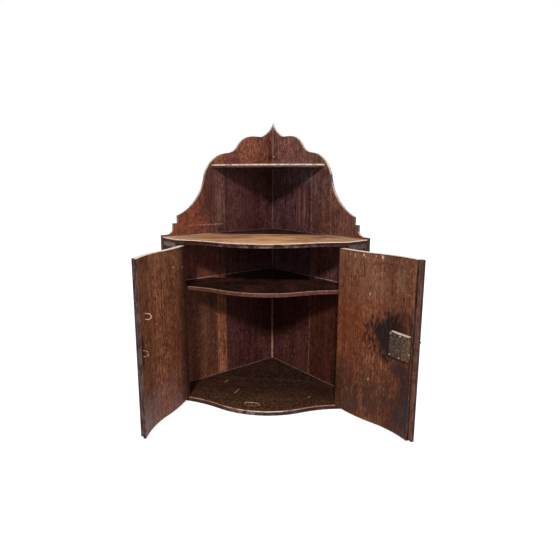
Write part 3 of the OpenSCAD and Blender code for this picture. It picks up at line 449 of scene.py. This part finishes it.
def gallery_shade(b, tint):
    """Darker between the top and the gallery shelf, fading out towards the front"""
    low, high = TOP_TOP + 0.006, GALLERY_SHELF_UNDER - 0.005
    inside = b.times(b.band(b.along, low, high, 0.012), b.ramp(b.across, 0.37, 0.24))
    b.lay(b.times(b.face, inside), tint, "MULTIPLY")


def corner_dust_and_shade(b):
    """Pale line down the corner, brighter low in the cupboard, dirt round the hanging screw, and
    painted shade behind the inner shelf
    """
    broken = b.ramp(b.noise(b.at, 60, detail=4, roughness=0.7), 0.34, 0.56, 0.4, 1.0)
    over_top = b.ramp(b.along, TOP_TOP + 0.006, TOP_TOP + 0.046, 0.0, 0.24)
    over_gallery = b.ramp(b.along, GALLERY_SHELF_TOP + 0.015, GALLERY_SHELF_TOP + 0.065, 0.0, 0.20)
    b.mark(1.0, srgb(168, 138, 122), b.ramp(b.across, 0.0042, 0.0022), broken,
           b.add(over_top, over_gallery))
    b.mark(0.45, srgb(120, 98, 98), b.ramp(b.across, 0.0060, 0.0030), broken,
           b.band(b.along, SHELF_TOP + 0.005, TOP_TOP - 0.014, 0.004))
    low = b.times(b.ramp(b.along, SHELF_TOP - 0.020, SHELF_TOP - 0.030),
                  b.ramp(b.along, 0.36, 0.18, 0.35, 0.95))
    b.mark(1.0, srgb(168, 128, 98), b.ramp(b.across, 0.0062, 0.0036), broken, low)
    # Rust and dirt round the hanging screw
    b.mark(0.65, GRIME_AND_SHADE, b.spot(0.012, 0.826, 0.016, ragged=1.2, soft=0.8),
           b.fleck(140, 0.36, 0.56, detail=4))
    # Painted shade on the walls just under the inner shelf, near the corner, seen through the gap
    # behind it
    b.mark(0.9, GRIME_AND_SHADE, b.band(b.along, SHELF_TOP - 0.050, SHELF_TOP - 0.001, 0.012),
           b.ramp(b.across, 0.24, 0.19))


def upper_compartment(b, tint):
    """Painted light and shade of the upper compartment, as a tint, and dust lying along the walls
    on the inner shelf
    """
    b.lay(b.times(b.face, b.band(b.along, SHELF_TOP + 0.002, TOP_TOP - 0.012, 0.004)), tint,
          "MULTIPLY")
    broken = b.ramp(b.noise(b.at, 70, detail=4, roughness=0.7), 0.34, 0.58, 0.35, 1.0)
    b.mark(1.0, srgb(176, 134, 116), b.band(b.along, SHELF_TOP, SHELF_TOP + 0.0022, 0.0006),
           broken, b.ramp(b.across, 0.12, 0.27, 0.35, 1.0))


def dotted_line(b):
    """Rubbed line across the left wall, just over the top board"""
    dots = b.ramp(b.noise(b.at, 240, detail=3, roughness=0.7), 0.44, 0.58)
    b.mark(0.75, srgb(190, 158, 140), b.stroke((0.372, 0.5855), (0.236, 0.5845), 0.0022), dots)


def knot_figure(b, patch, amount, paint, scale):
    """Curly light and dark figure low on a wall, near the corner"""
    b.mark(amount, paint, patch, b.fleck(scale, 0.50, 0.62, shift=5))
    b.mark(0.6, GRIME_AND_SHADE, patch, b.fleck(150, 0.54, 0.66, shift=8))


def left_outer_marks(b):
    gallery_shade(b, (0.50, 0.50, 0.74))
    painted_shade_below(b, SHELF_TOP - 0.005, 0.01, (0.76, 0.88, 0.88))
    upper_compartment(b, (0.80, 0.74, 1.04))
    dotted_line(b)
    # Reddish patch and dark streak above the top board
    b.mark(0.5, srgb(140, 66, 40), b.spot(0.37, 0.61, 0.07, ragged=0.8), b.fleck(60, 0.42, 0.6))
    b.mark(0.55, srgb(40, 22, 18), b.spot(0.30, 0.67, 0.05, ragged=0.8, tall=2.2),
           b.fleck(90, 0.4, 0.6, tall=8))


def left_strip_marks(b):
    gallery_shade(b, (0.36, 0.38, 0.60))
    upper_compartment(b, (0.62, 0.60, 0.95))
    dotted_line(b)
    # Fine pale lines above the top board
    b.mark(0.22, srgb(150, 108, 96), b.ramp(b.along, 0.56, 0.60),
           b.fleck(220, 0.48, 0.60, tall=60), b.spot(0.262, 0.63, 0.07, tall=1.3))


def left_inner_marks(b):
    painted_shade_below(b, GALLERY_SHELF_TOP - 0.005, 0.012, (0.45, 0.46, 0.62))
    dotted_line(b)
    corner_dust_and_shade(b)
    upper_compartment(b, (1.06, 1.10, 1.28))
    # Reddish patch under the outline, flecked with pale wood
    lobe = b.spot(0.115, 0.85, 0.075, ragged=0.6)
    b.mark(0.6, srgb(162, 94, 60), lobe, b.fleck(130, 0.42, 0.62, tall=2))
    b.mark(0.5, srgb(196, 148, 112), lobe, b.fleck(300, 0.56, 0.68, tall=2, shift=3))
    knot_figure(b, b.spot(0.062, 0.095, 0.034, ragged=0.6), 0.55, srgb(128, 84, 64), 170)


def right_outer_marks(b):
    gallery_shade(b, (0.62, 0.60, 0.76))
    painted_shade_below(b, SHELF_TOP - 0.005, 0.01, (0.42, 0.30, 0.26))
    upper_compartment(b, (0.92, 0.88, 1.08))
    # Greyer towards its top
    b.mark(0.45, srgb(122, 96, 84), b.ramp(b.along, 0.60, 0.70), b.fleck(70, 0.46, 0.64, tall=3))


def right_inner_marks(b):
    painted_shade_below(b, GALLERY_SHELF_TOP - 0.005, 0.012, (0.54, 0.60, 0.90))
    painted_shade_below(b, SHELF_TOP - 0.005, 0.01, (0.85, 0.71, 0.53))
    # Bluer and lighter just under the gallery shelf, painted light in its shadow, and lighter above
    # it
    under_gallery = b.band(b.along, GALLERY_SHELF_UNDER - 0.038, GALLERY_SHELF_UNDER + 0.005, 0.035)
    b.lay(b.times(b.face, under_gallery), (1.45, 1.95, 2.20), "MULTIPLY")
    over_gallery = b.ramp(b.along, GALLERY_SHELF_TOP, GALLERY_SHELF_TOP + 0.010)
    b.lay(b.times(b.face, over_gallery), (1.30, 1.52, 1.66), "MULTIPLY")
    corner_dust_and_shade(b)
    upper_compartment(b, (1.22, 1.55, 1.65))
    # Pale line by the joint between the boards
    broken = b.ramp(b.noise(b.at, 90, detail=3), 0.40, 0.56)
    b.mark(0.4, srgb(150, 116, 102), b.band(b.across, 0.2165, 0.2200, 0.001), broken)
    # Dark scratch and fine pale lines above the top board
    b.mark(0.95, GRIME_AND_SHADE, b.stroke((0.108, 0.6395), (0.134, 0.6370), 0.0034))
    b.mark(0.4, srgb(150, 96, 80), b.spot(0.16, 0.645, 0.06, tall=1.5),
           b.fleck(130, 0.50, 0.60, tall=50))
    knot_figure(b, b.spot(0.080, 0.105, 0.036, ragged=0.6, tall=1.4), 0.5, srgb(136, 92, 68), 160)


def left_door_marks(b):
    # Greyer low down, lighter high up, dark towards the hinges
    b.mark(0.45, srgb(118, 92, 90), b.ramp(b.along, 0.19, 0.06),
           b.fleck(26, 0.30, 0.66, tall=1.6, detail=6))
    b.mark(0.30, srgb(150, 104, 74), b.ramp(b.along, 0.36, 0.50), b.fleck(30, 0.40, 0.60, detail=5))
    b.mark(0.75, srgb(30, 15, 12), b.ramp(b.across, 0.095, 0.014))
    # Small pale specks and spots
    b.mark(0.8, srgb(190, 160, 138), b.spot(0.062, 0.500, 0.045), b.fleck(330, 0.60, 0.68, shift=2))
    b.mark(0.8, srgb(176, 148, 130), b.spot(0.055, 0.135, 0.030), b.fleck(300, 0.60, 0.68, shift=7))
    for across, along, radius in ((0.088, 0.479, 0.0036), (0.0325, 0.469, 0.0034)):
        b.mark(0.9, srgb(206, 178, 156), b.spot(across, along, radius, ragged=0.8))
    # Dark where the bolt rubbed by the meeting edge
    b.mark(0.75, srgb(36, 20, 16), b.spot(0.258, 0.27, 0.02, ragged=0.9, tall=3))


def right_door_marks(b):
    # Lighter high up, darker low down and by the meeting edge
    patchy = b.fleck(24, 0.38, 0.62, tall=1.5, detail=6)
    b.mark(0.45, srgb(136, 100, 78), b.ramp(b.along, 0.32, 0.50), patchy)
    b.mark(0.75, srgb(46, 26, 20), b.ramp(b.along, 0.27, 0.11),
           b.fleck(30, 0.28, 0.58, tall=2.5, detail=5, shift=3))
    b.mark(0.7, srgb(34, 20, 18), b.ramp(b.across, 0.242, 0.252), b.ramp(b.along, 0.42, 0.34))
    # Black stain round the lock, ragged and running along the grain
    run = b.fleck(210, 0.42, 0.54, tall=4, detail=5, shift=2)
    solid = b.fleck(110, 0.26, 0.50, tall=4, detail=5, shift=6)
    b.mark(0.62, srgb(34, 18, 16), b.spot(0.208, 0.318, 0.098, ragged=0.6, soft=0.9, tall=1.1),
           b.fleck(90, 0.22, 0.5, tall=3))
    b.mark(0.88, srgb(19, 10, 9),
           b.spot(0.188, 0.298, 0.062, ragged=0.8, soft=0.5, tall=1.15), solid)
    for across, along, radius, tall in (
            (0.158, 0.303, 0.028, 1.2), (0.136, 0.334, 0.024, 1.2), (0.185, 0.352, 0.030, 1.3),
            (0.172, 0.250, 0.030, 1.3), (0.120, 0.290, 0.024, 1.5), (0.128, 0.262, 0.020, 1.4),
            (0.150, 0.318, 0.026, 1.4), (0.112, 0.318, 0.012, 1.5), (0.104, 0.276, 0.010, 1.6)):
        b.mark(0.92, srgb(17, 8, 7),
               b.spot(across, along, radius, ragged=1.3, soft=0.5, tall=tall), run)
    for across, along, radius, tall in (
            (0.212, 0.212, 0.044, 1.1), (0.242, 0.165, 0.040, 2.0), (0.232, 0.075, 0.044, 1.8)):
        b.mark(0.8, srgb(42, 24, 27),
               b.spot(across, along, radius, ragged=0.7, soft=0.8, tall=tall),
               b.fleck(90, 0.25, 0.5, tall=4, shift=3))
    # Redder where it was handled least, and a dark scrape high up
    b.mark(0.4, srgb(104, 44, 22), b.spot(0.060, 0.290, 0.10, ragged=0.6, soft=0.8, tall=1.8))
    b.mark(0.55, srgb(30, 18, 16), b.stroke((0.131, 0.510), (0.231, 0.504), 0.0045),
           b.fleck(120, 0.42, 0.6))
    # Chips below the top edge
    for across, drop, radius, amount in (
            (0.047, 0.011, 0.0020, 0.6), (0.064, 0.013, 0.0036, 0.35), (0.094, 0.008, 0.0030, 0.8),
            (0.099, 0.014, 0.0020, 0.5), (0.131, 0.007, 0.0026, 0.4), (0.149, 0.008, 0.0036, 0.9)):
        b.mark(amount, srgb(212, 170, 140),
               b.spot(across, DOOR_TOP - drop, radius, ragged=1.6, tall=2.0))
    # Painted shadow as a dark line along the top edge, and two pale specks
    broken = b.ramp(b.noise(b.at, 70, detail=4, roughness=0.7), 0.40, 0.54)
    b.mark(0.8, srgb(38, 20, 15), b.ramp(b.along, DOOR_TOP - 0.0042, DOOR_TOP - 0.0022), broken)
    for across, along, radius in ((0.1175, 0.414, 0.0030), (0.123, 0.153, 0.0028)):
        b.mark(0.75, srgb(178, 140, 112), b.spot(across, along, radius, ragged=1.6, tall=2.2))
    # Pale mark of something square that was once fixed above the lock
    for start, end in (((0.226, 0.398), (0.226, 0.435)), ((0.226, 0.435), (0.250, 0.434))):
        b.mark(0.3, srgb(160, 130, 110), b.stroke(start, end, 0.0022))


def seam_dust(b, amount, width=0.0030):
    """Dust lying along the walls on a level board"""
    depth = b.add(b.times(b.across, -1), CORNER_Y)
    away = b.times(b.math("SUBTRACT", depth, b.math("ABSOLUTE", b.along)), DIAGONAL)
    broken = b.ramp(b.noise(b.at, 75, detail=4, roughness=0.7), 0.36, 0.56, 0.25, 1.0)
    b.mark(amount, srgb(176, 144, 128), b.ramp(away, width, width * 0.6), broken)


def top_marks(b):
    seam_dust(b, 0.7)
    worn = b.fleck(30, 0.34, 0.62, tall=2.5, detail=6)
    # Golden in the middle, browner behind it on both sides
    b.mark(0.75, srgb(224, 160, 104), b.spot(-0.385, 0.0, 0.16, ragged=0.5, soft=0.8),
           b.fleck(40, 0.30, 0.60, tall=3))
    b.mark(0.80, srgb(104, 56, 36),
           b.spot(-0.29, -0.13, 0.13, ragged=0.7, soft=0.8, tall=1.3), worn)
    b.mark(0.60, srgb(104, 58, 38), b.spot(-0.28, 0.15, 0.11, ragged=0.7, soft=0.8, tall=1.3), worn)
    # Greyer at its ends, bleached along its curved front
    ends = b.ramp(b.math("ABSOLUTE", b.along), 0.15, 0.26)
    b.mark(0.60, srgb(164, 142, 124), ends, b.fleck(50, 0.32, 0.60, tall=2, detail=5, shift=4))
    front = b.ramp(b.add(b.across, b.times(b.along, b.along, 0.9)), -0.425, -0.465)
    b.mark(0.50, srgb(232, 200, 170), front, b.fleck(50, 0.36, 0.60, tall=2, detail=5, shift=6))
    # Light and dark patches of wear all over, and a dirty place to the right
    b.mark(0.42, srgb(246, 200, 152), b.fleck(24, 0.44, 0.66, tall=2.6, detail=6, shift=9))
    b.mark(0.50, srgb(104, 58, 38), b.fleck(22, 0.50, 0.70, tall=2.8, detail=6, shift=12))
    b.mark(0.55, srgb(74, 42, 34), b.spot(-0.30, 0.215, 0.070, ragged=0.8, soft=0.8),
           b.fleck(60, 0.46, 0.60, tall=1.2, detail=5, shift=15))


def top_back_marks(b):
    seam_dust(b, 0.8, 0.004)
    b.mark(0.14, DUST, b.fleck(160, 0.58, 0.72, tall=2))


def shelf_marks(b):
    seam_dust(b, 0.9, 0.005)


def floor_marks(b):
    seam_dust(b, 0.8)
    front = b.ramp(b.across, -0.30, -0.43)
    b.mark(0.45, srgb(112, 76, 52), front, b.fleck(70, 0.44, 0.60, tall=0.5, detail=5, shift=2))
    b.mark(0.6, srgb(176, 132, 96), front, b.fleck(150, 0.58, 0.68, tall=0.8, shift=5))
    b.mark(0.25, srgb(96, 62, 44), b.fleck(60, 0.52, 0.66, tall=0.6, detail=4, shift=8))
    # Pale line in front of the staple
    b.mark(0.75, srgb(176, 134, 104), b.ramp(b.noise(b.at, 160, detail=3), 0.38, 0.55),
           b.math("MAXIMUM", b.stroke((-0.4400, -0.048), (-0.4454, -0.022), 0.0036),
                  b.stroke((-0.4454, -0.022), (-0.4400, 0.002), 0.0036)))
    # Short scratches
    for y, x, dy, dx in ((-0.2706, -0.1429, 0.010, 0.004), (-0.3466, -0.092, 0.016, 0.005),
                         (-0.3626, 0.1606, 0.006, 0.004)):
        b.mark(0.8, srgb(182, 152, 128), b.stroke((y - dy, x - dx), (y + dy, x + dx), 0.0022))


# ---- The wooden pieces ------------------------------------------------------------------

# Steep parts of the gallery outline, on either wall, painted darker as shade, more so on the right
LEFT_RISER = (112, 86, 76)
RIGHT_RISER = (50, 33, 30)

woods = {
    "left_back_outer_board": wood(
        "reddish back board, left front", "left wall",
        dark=(62, 28, 20), middle=(106, 54, 38), light=(140, 84, 62), seed=1.7, wander=0.05,
        raw=0.8, marks=left_outer_marks, edges=gallery_outline(LEFT_RISER), wear=0.22),
    "left_back_strip": wood(
        "narrow back strip", "left wall",
        dark=(82, 46, 30), middle=(130, 77, 50), light=(168, 114, 82), seed=4.1, rings=0.5, raw=0.8,
        marks=left_strip_marks, edges=gallery_outline(LEFT_RISER), wear=0.08),
    "left_back_inner_board": wood(
        "reddish back board, left", "left wall",
        dark=(54, 24, 19), middle=(96, 48, 38), light=(134, 80, 64), seed=8.3, rings=0.8, raw=0.8,
        marks=left_inner_marks, edges=gallery_outline(LEFT_RISER), wear=0.15),
    "right_back_outer_board": wood(
        "brown back board, right front", "right wall",
        dark=(56, 31, 25), middle=(96, 58, 47), light=(132, 92, 76), seed=12.9, wander=0.05,
        raw=0.8, marks=right_outer_marks, edges=gallery_outline(RIGHT_RISER), wear=0.22),
    "right_back_inner_board": wood(
        "pinkish back board, right", "right wall",
        dark=(52, 26, 23), middle=(94, 51, 43), light=(134, 84, 72), seed=15.2, rings=0.7, raw=0.8,
        marks=right_inner_marks, edges=gallery_outline(RIGHT_RISER), wear=0.15),
    "top_front_board": wood(
        "top, front board", "level",
        dark=(142, 90, 58), middle=(190, 136, 96), light=(222, 172, 130), seed=21.0, raw=0.6,
        marks=top_marks, wear=0.25,
        edges=rounded_edge((250, 226, 210), (46, 22, 19), (104, 68, 60), highlight_reach=0.16)),
    # Nearly black: painted shadow under the gallery shelf on the back of the top, and grime
    "top_back_board": wood(
        "top, back board", "level",
        dark=(11, 4, 4), middle=(21, 7, 7), light=(37, 16, 15), seed=24.5, raw=0.6,
        marks=top_back_marks, wear=0.2),
    "bottom_front_board": wood(
        "bottom, front board", "level",
        dark=(23, 12, 9), middle=(43, 24, 17), light=(70, 43, 30), seed=31.4, warmth=0.06, raw=0.7,
        marks=floor_marks, wear=0.2,
        edges=rounded_edge((172, 124, 104), (42, 24, 21), (116, 76, 64), highlight_reach=0.10)),
    "bottom_back_board": wood(
        "bottom, back board", "level",
        dark=(19, 9, 6), middle=(39, 21, 14), light=(62, 36, 25), seed=34.8, warmth=0.06, raw=0.7,
        marks=floor_marks, wear=0.15),
    "inner_shelf": wood(
        "inner shelf", "level",
        dark=(12, 5, 5), middle=(27, 12, 10), light=(52, 28, 22), seed=41.1,
        marks=shelf_marks, wear=0.25,
        edges=rounded_edge((172, 126, 104), (82, 48, 38), (132, 92, 76), amount=0.85)),
    "gallery_shelf": wood(
        "gallery shelf", "level",
        dark=(70, 44, 34), middle=(112, 76, 60), light=(150, 112, 92), seed=44.6,
        edges=gallery_shelf_edge, wear=0.35),
    # Painted light: a little lighter than the right door, as less lamp light falls on its face
    "left_door": wood(
        "left door", "left door",
        dark=(62, 30, 18), middle=(114, 64, 42), light=(160, 106, 76), seed=51.3, wander=0.05,
        clouds=(0.90, 1.08), polish=(0.52, 0.40, 0.34), marks=left_door_marks, wear=0.6,
        edges=door_edges(0, (42, 26, 26), (88, 64, 63))),
    "right_door": wood(
        "right door", "right door",
        dark=(58, 28, 17), middle=(102, 54, 34), light=(146, 94, 62), seed=55.9, wander=0.05,
        clouds=(0.90, 1.08), polish=(0.52, 0.42, 0.36), marks=right_door_marks, wear=0.6,
        edges=door_edges(REBATE_START, (27, 15, 13), (64, 42, 36))),
    "left_stile": wood(
        "left return", "upright",
        dark=(34, 21, 20), middle=(60, 40, 36), light=(96, 70, 62), seed=61.0, wear=0.4),
    "right_stile": wood(
        "right return", "upright",
        dark=(36, 22, 22), middle=(62, 40, 38), light=(98, 70, 64), seed=63.0, wear=0.4),
    # Painted light and shade: the left moulding lighter than the right
    "left_cornice_return": wood(
        "left moulding", "upright",
        dark=(50, 38, 35), middle=(98, 82, 76), light=(150, 132, 122), seed=65.0),
    "right_cornice_return": wood(
        "right moulding", "upright",
        dark=(36, 24, 23), middle=(70, 52, 49), light=(120, 98, 92), seed=67.0),
}


# ---- Metal -------------------------------------------------------------------------------

def metal(name, bright, dull, crust, seed, crusted=0.5, metallic=0.75, scale=150, top=None):
    """Old metal: bright where it is rubbed, dull or crusted elsewhere.

    crusted: how much of the crust shows. scale: how fine its patches are.
    top: its painted highlight where it faces up, and how far out of the right door that reaches;
    further out it is painted shade.
    """
    f = Finish(name)
    place = f.place()
    cloud = f.noise(f.vmath("ADD", place, (seed, 0, seed)), scale, detail=5, roughness=0.68)
    color = f.mix(f.ramp(cloud, 0.40, 0.62), srgb(*dull), srgb(*bright))
    crumbs = f.noise(f.vmath("ADD", place, (0, seed, 0)), scale * 2.4, detail=4, roughness=0.62)
    crust_at = f.times(f.ramp(crumbs, 0.44, 0.56), f.ramp(cloud, 0.64, 0.44))
    color = f.mix(f.times(crust_at, crusted), color, srgb(*crust))
    arris, nook = f.edge_masks(0.0008)
    color = f.mix(f.times(arris, 0.5), color, srgb(*bright))
    color = f.mix(f.times(nook, 0.6), color, GRIME_AND_SHADE)
    if top:
        paint, reach = top
        origin, _, out, _ = LIES["right door"]
        up = f.node("ShaderNodeSeparateXYZ", {"Vector": f.facing()}).outputs[2]
        depth = f.vmath("DOT_PRODUCT", f.vmath("SUBTRACT", place, origin), out)
        # Painted highlight on what faces up, painted shade past the reach
        shown = f.mix(f.ramp(depth, reach - 0.0005, reach + 0.0005), srgb(*paint),
                      srgb(34, 22, 20))
        color = f.mix(f.ramp(up, 0.6, 0.9), color, shown)
    height = f.add(f.times(crumbs, 0.6), f.times(crust_at, 0.6))
    roughness = f.add(f.ramp(cloud, 0.3, 0.7, 0.7, 0.38), f.times(crust_at, 0.15))
    return f.shade(color, roughness, height, depth=0.0003, metallic=metallic, specular=0.4)


# The lock's case stands out of the curved door, so its front is found from the case itself.
# What faces up there is a painted highlight to 3.4 mm short of that front, and painted shade
# beyond.
door_pin, door_out = Vector(LIES["right door"][0]), Vector(LIES["right door"][2])
case_front = max((corner.co - door_pin).dot(door_out) for corner in cad["lock_case"].data.vertices)
painted_top_highlight = ((236, 220, 200), case_front - 0.0034)

case_iron = metal("lock case", (114, 84, 56), (60, 40, 28), (40, 26, 19), 2.0,
                  metallic=0.1, top=painted_top_highlight)
cap_iron = metal("rusty cap iron", (92, 70, 56), (22, 13, 11), (52, 32, 24), 5.0,
                 crusted=0.8, metallic=0.1, scale=130, top=painted_top_highlight)
# Pale wire for the left door's staple
wire_iron = metal("pale wire iron", (236, 210, 194), (186, 152, 136), (110, 72, 58), 9.0,
                  crusted=0.4, metallic=0.2)
brown_iron = metal("browned wire iron", (206, 160, 134), (146, 104, 82), (84, 54, 42), 10.0,
                   crusted=0.6, metallic=0.2)
crusted_iron = metal("crusted wire iron", (206, 178, 158), (84, 60, 50), (44, 28, 24), 11.0,
                     crusted=0.8, metallic=0.2, scale=260)
dark_iron = metal("dark nail iron", (90, 70, 64), (50, 36, 32), (76, 46, 34), 13.0, metallic=0.3)
old_brass = metal("old brass", (176, 142, 84), (116, 88, 52), (60, 46, 34), 17.0, metallic=0.85)
# Near-white screw heads and key pin: rubbed metal with painted glints
glinting_screw_iron = metal("rubbed screw heads with painted glints", (232, 212, 192), (166, 140, 122), (70, 48, 38), 21.0,
                   metallic=0.2)
black_iron = metal("blackened iron", (58, 44, 40), (24, 17, 16), (44, 30, 25), 15.0, metallic=0.2)

metals = {
    "lock_case": case_iron, "lock_plate": case_iron, "lock_bolt": case_iron,
    "bolt_spring": case_iron, "lock_cap": cap_iron,
    "key_pin": glinting_screw_iron, "lock_screws": glinting_screw_iron,
    "left_door_staple": wire_iron, "lock_keep": crusted_iron, "floor_staple": brown_iron,
    "hanging_screw": crusted_iron, "door_knob": black_iron,
    "left_wall_nails": dark_iron, "right_wall_nails": dark_iron,
}

# The pieces in neither table are brass: the hinges, their screws, the keyhole's plate and its pins
for name, piece in cad.items():
    piece.data.materials.clear()
    piece.data.materials.append(woods.get(name) or metals.get(name) or old_brass)


# ---- Floor, light and camera ----------------------------------------------------------------

def seen_plainly(f):
    """1 for what is looked at directly or in a polished surface"""
    rays = f.node("ShaderNodeLightPath").outputs
    return f.math("MAXIMUM", rays["Is Camera Ray"],
                  f.math("MAXIMUM", rays["Is Glossy Ray"], rays["Is Transmission Ray"]))


def pale_floor():
    """A wide floor just under the cupboard, shaded near its foot and white further out"""
    mesh = bpy.data.meshes.new("floor")
    reach = 12
    corners = [(-reach, -reach, 0), (reach, -reach, 0), (reach, reach, 0), (-reach, reach, 0)]
    mesh.from_pydata(corners, [], [(0, 1, 2, 3)])
    floor = bpy.data.objects.new("floor", mesh)
    bpy.context.scene.collection.objects.link(floor)
    floor.location.z = -0.001
    f = Finish("pale floor")
    matt = f.node("ShaderNodeBsdfDiffuse", {"Color": (0.50, 0.50, 0.50)})
    away = f.vmath("LENGTH", f.place())
    glow = f.times(seen_plainly(f), f.ramp(away, 0.6, 3.0, 0.82, 1.0))
    white = f.node("ShaderNodeEmission", {"Color": (1, 1, 1), "Strength": glow})
    both = f.node("ShaderNodeAddShader")
    f.tree.links.new(matt.outputs[0], both.inputs[0])
    f.tree.links.new(white.outputs[0], both.inputs[1])
    output = f.node("ShaderNodeOutputMaterial")
    f.tree.links.new(both.outputs[0], output.inputs[0])
    mesh.materials.append(f.material)


def studio():
    """White all round, which lights the cupboard only softly"""
    world = bpy.data.worlds.new("studio")
    bpy.context.scene.world = world
    world.use_nodes = True
    world.node_tree.nodes.clear()
    f = Finish("", world.node_tree)
    back = f.node("ShaderNodeBackground", {
        "Color": (1, 1, 1), "Strength": f.ramp(seen_plainly(f), 0.0, 1.0, 0.24, 1.0)})
    output = f.node("ShaderNodeOutputWorld")
    f.tree.links.new(back.outputs[0], output.inputs[0])


def lamp(name, kind, place, target, size, power):
    """A round soft lamp, or a sun whose size is its width in degrees"""
    light = bpy.data.lights.new(name, kind)
    light.energy = power
    if kind == "SUN":
        light.angle = math.radians(size)
    else:
        light.shape = "DISK"
        light.size = size
    made = bpy.data.objects.new(name, light)
    bpy.context.scene.collection.objects.link(made)
    made.location = place
    way = Vector(target) - Vector(place)
    made.rotation_euler = way.to_track_quat("-Z", "Y").to_euler()


pale_floor()
studio()
SUN_HEIGHT = 32.4               # degrees above level
lamp("light from straight in front", "SUN", (0, -2, 2 * math.tan(math.radians(SUN_HEIGHT))),
     (0, 0, 0), 7, 2.7)
lamp("soft light from the right", "AREA", (2.1, -1.7, 1.1), (-0.1, -0.35, 0.35), 2.2, 20)
lamp("soft light from the left", "AREA", (-2.1, -1.9, 1.1), (0.1, -0.35, 0.35), 2.2, 7)

camera_data = bpy.data.cameras.new("camera")
camera_data.lens = 29.10
camera_data.sensor_width = 36
camera_data.shift_x = 0.0267
camera_data.shift_y = -0.0188
camera = bpy.data.objects.new("camera", camera_data)
bpy.context.scene.collection.objects.link(camera)
camera.location = (0.1783, -1.8025, 0.7307)
camera.rotation_euler = (math.radians(79.15), 0, math.radians(6.67))
bpy.context.scene.camera = camera
bpy.context.scene.view_settings.view_transform = "Standard"
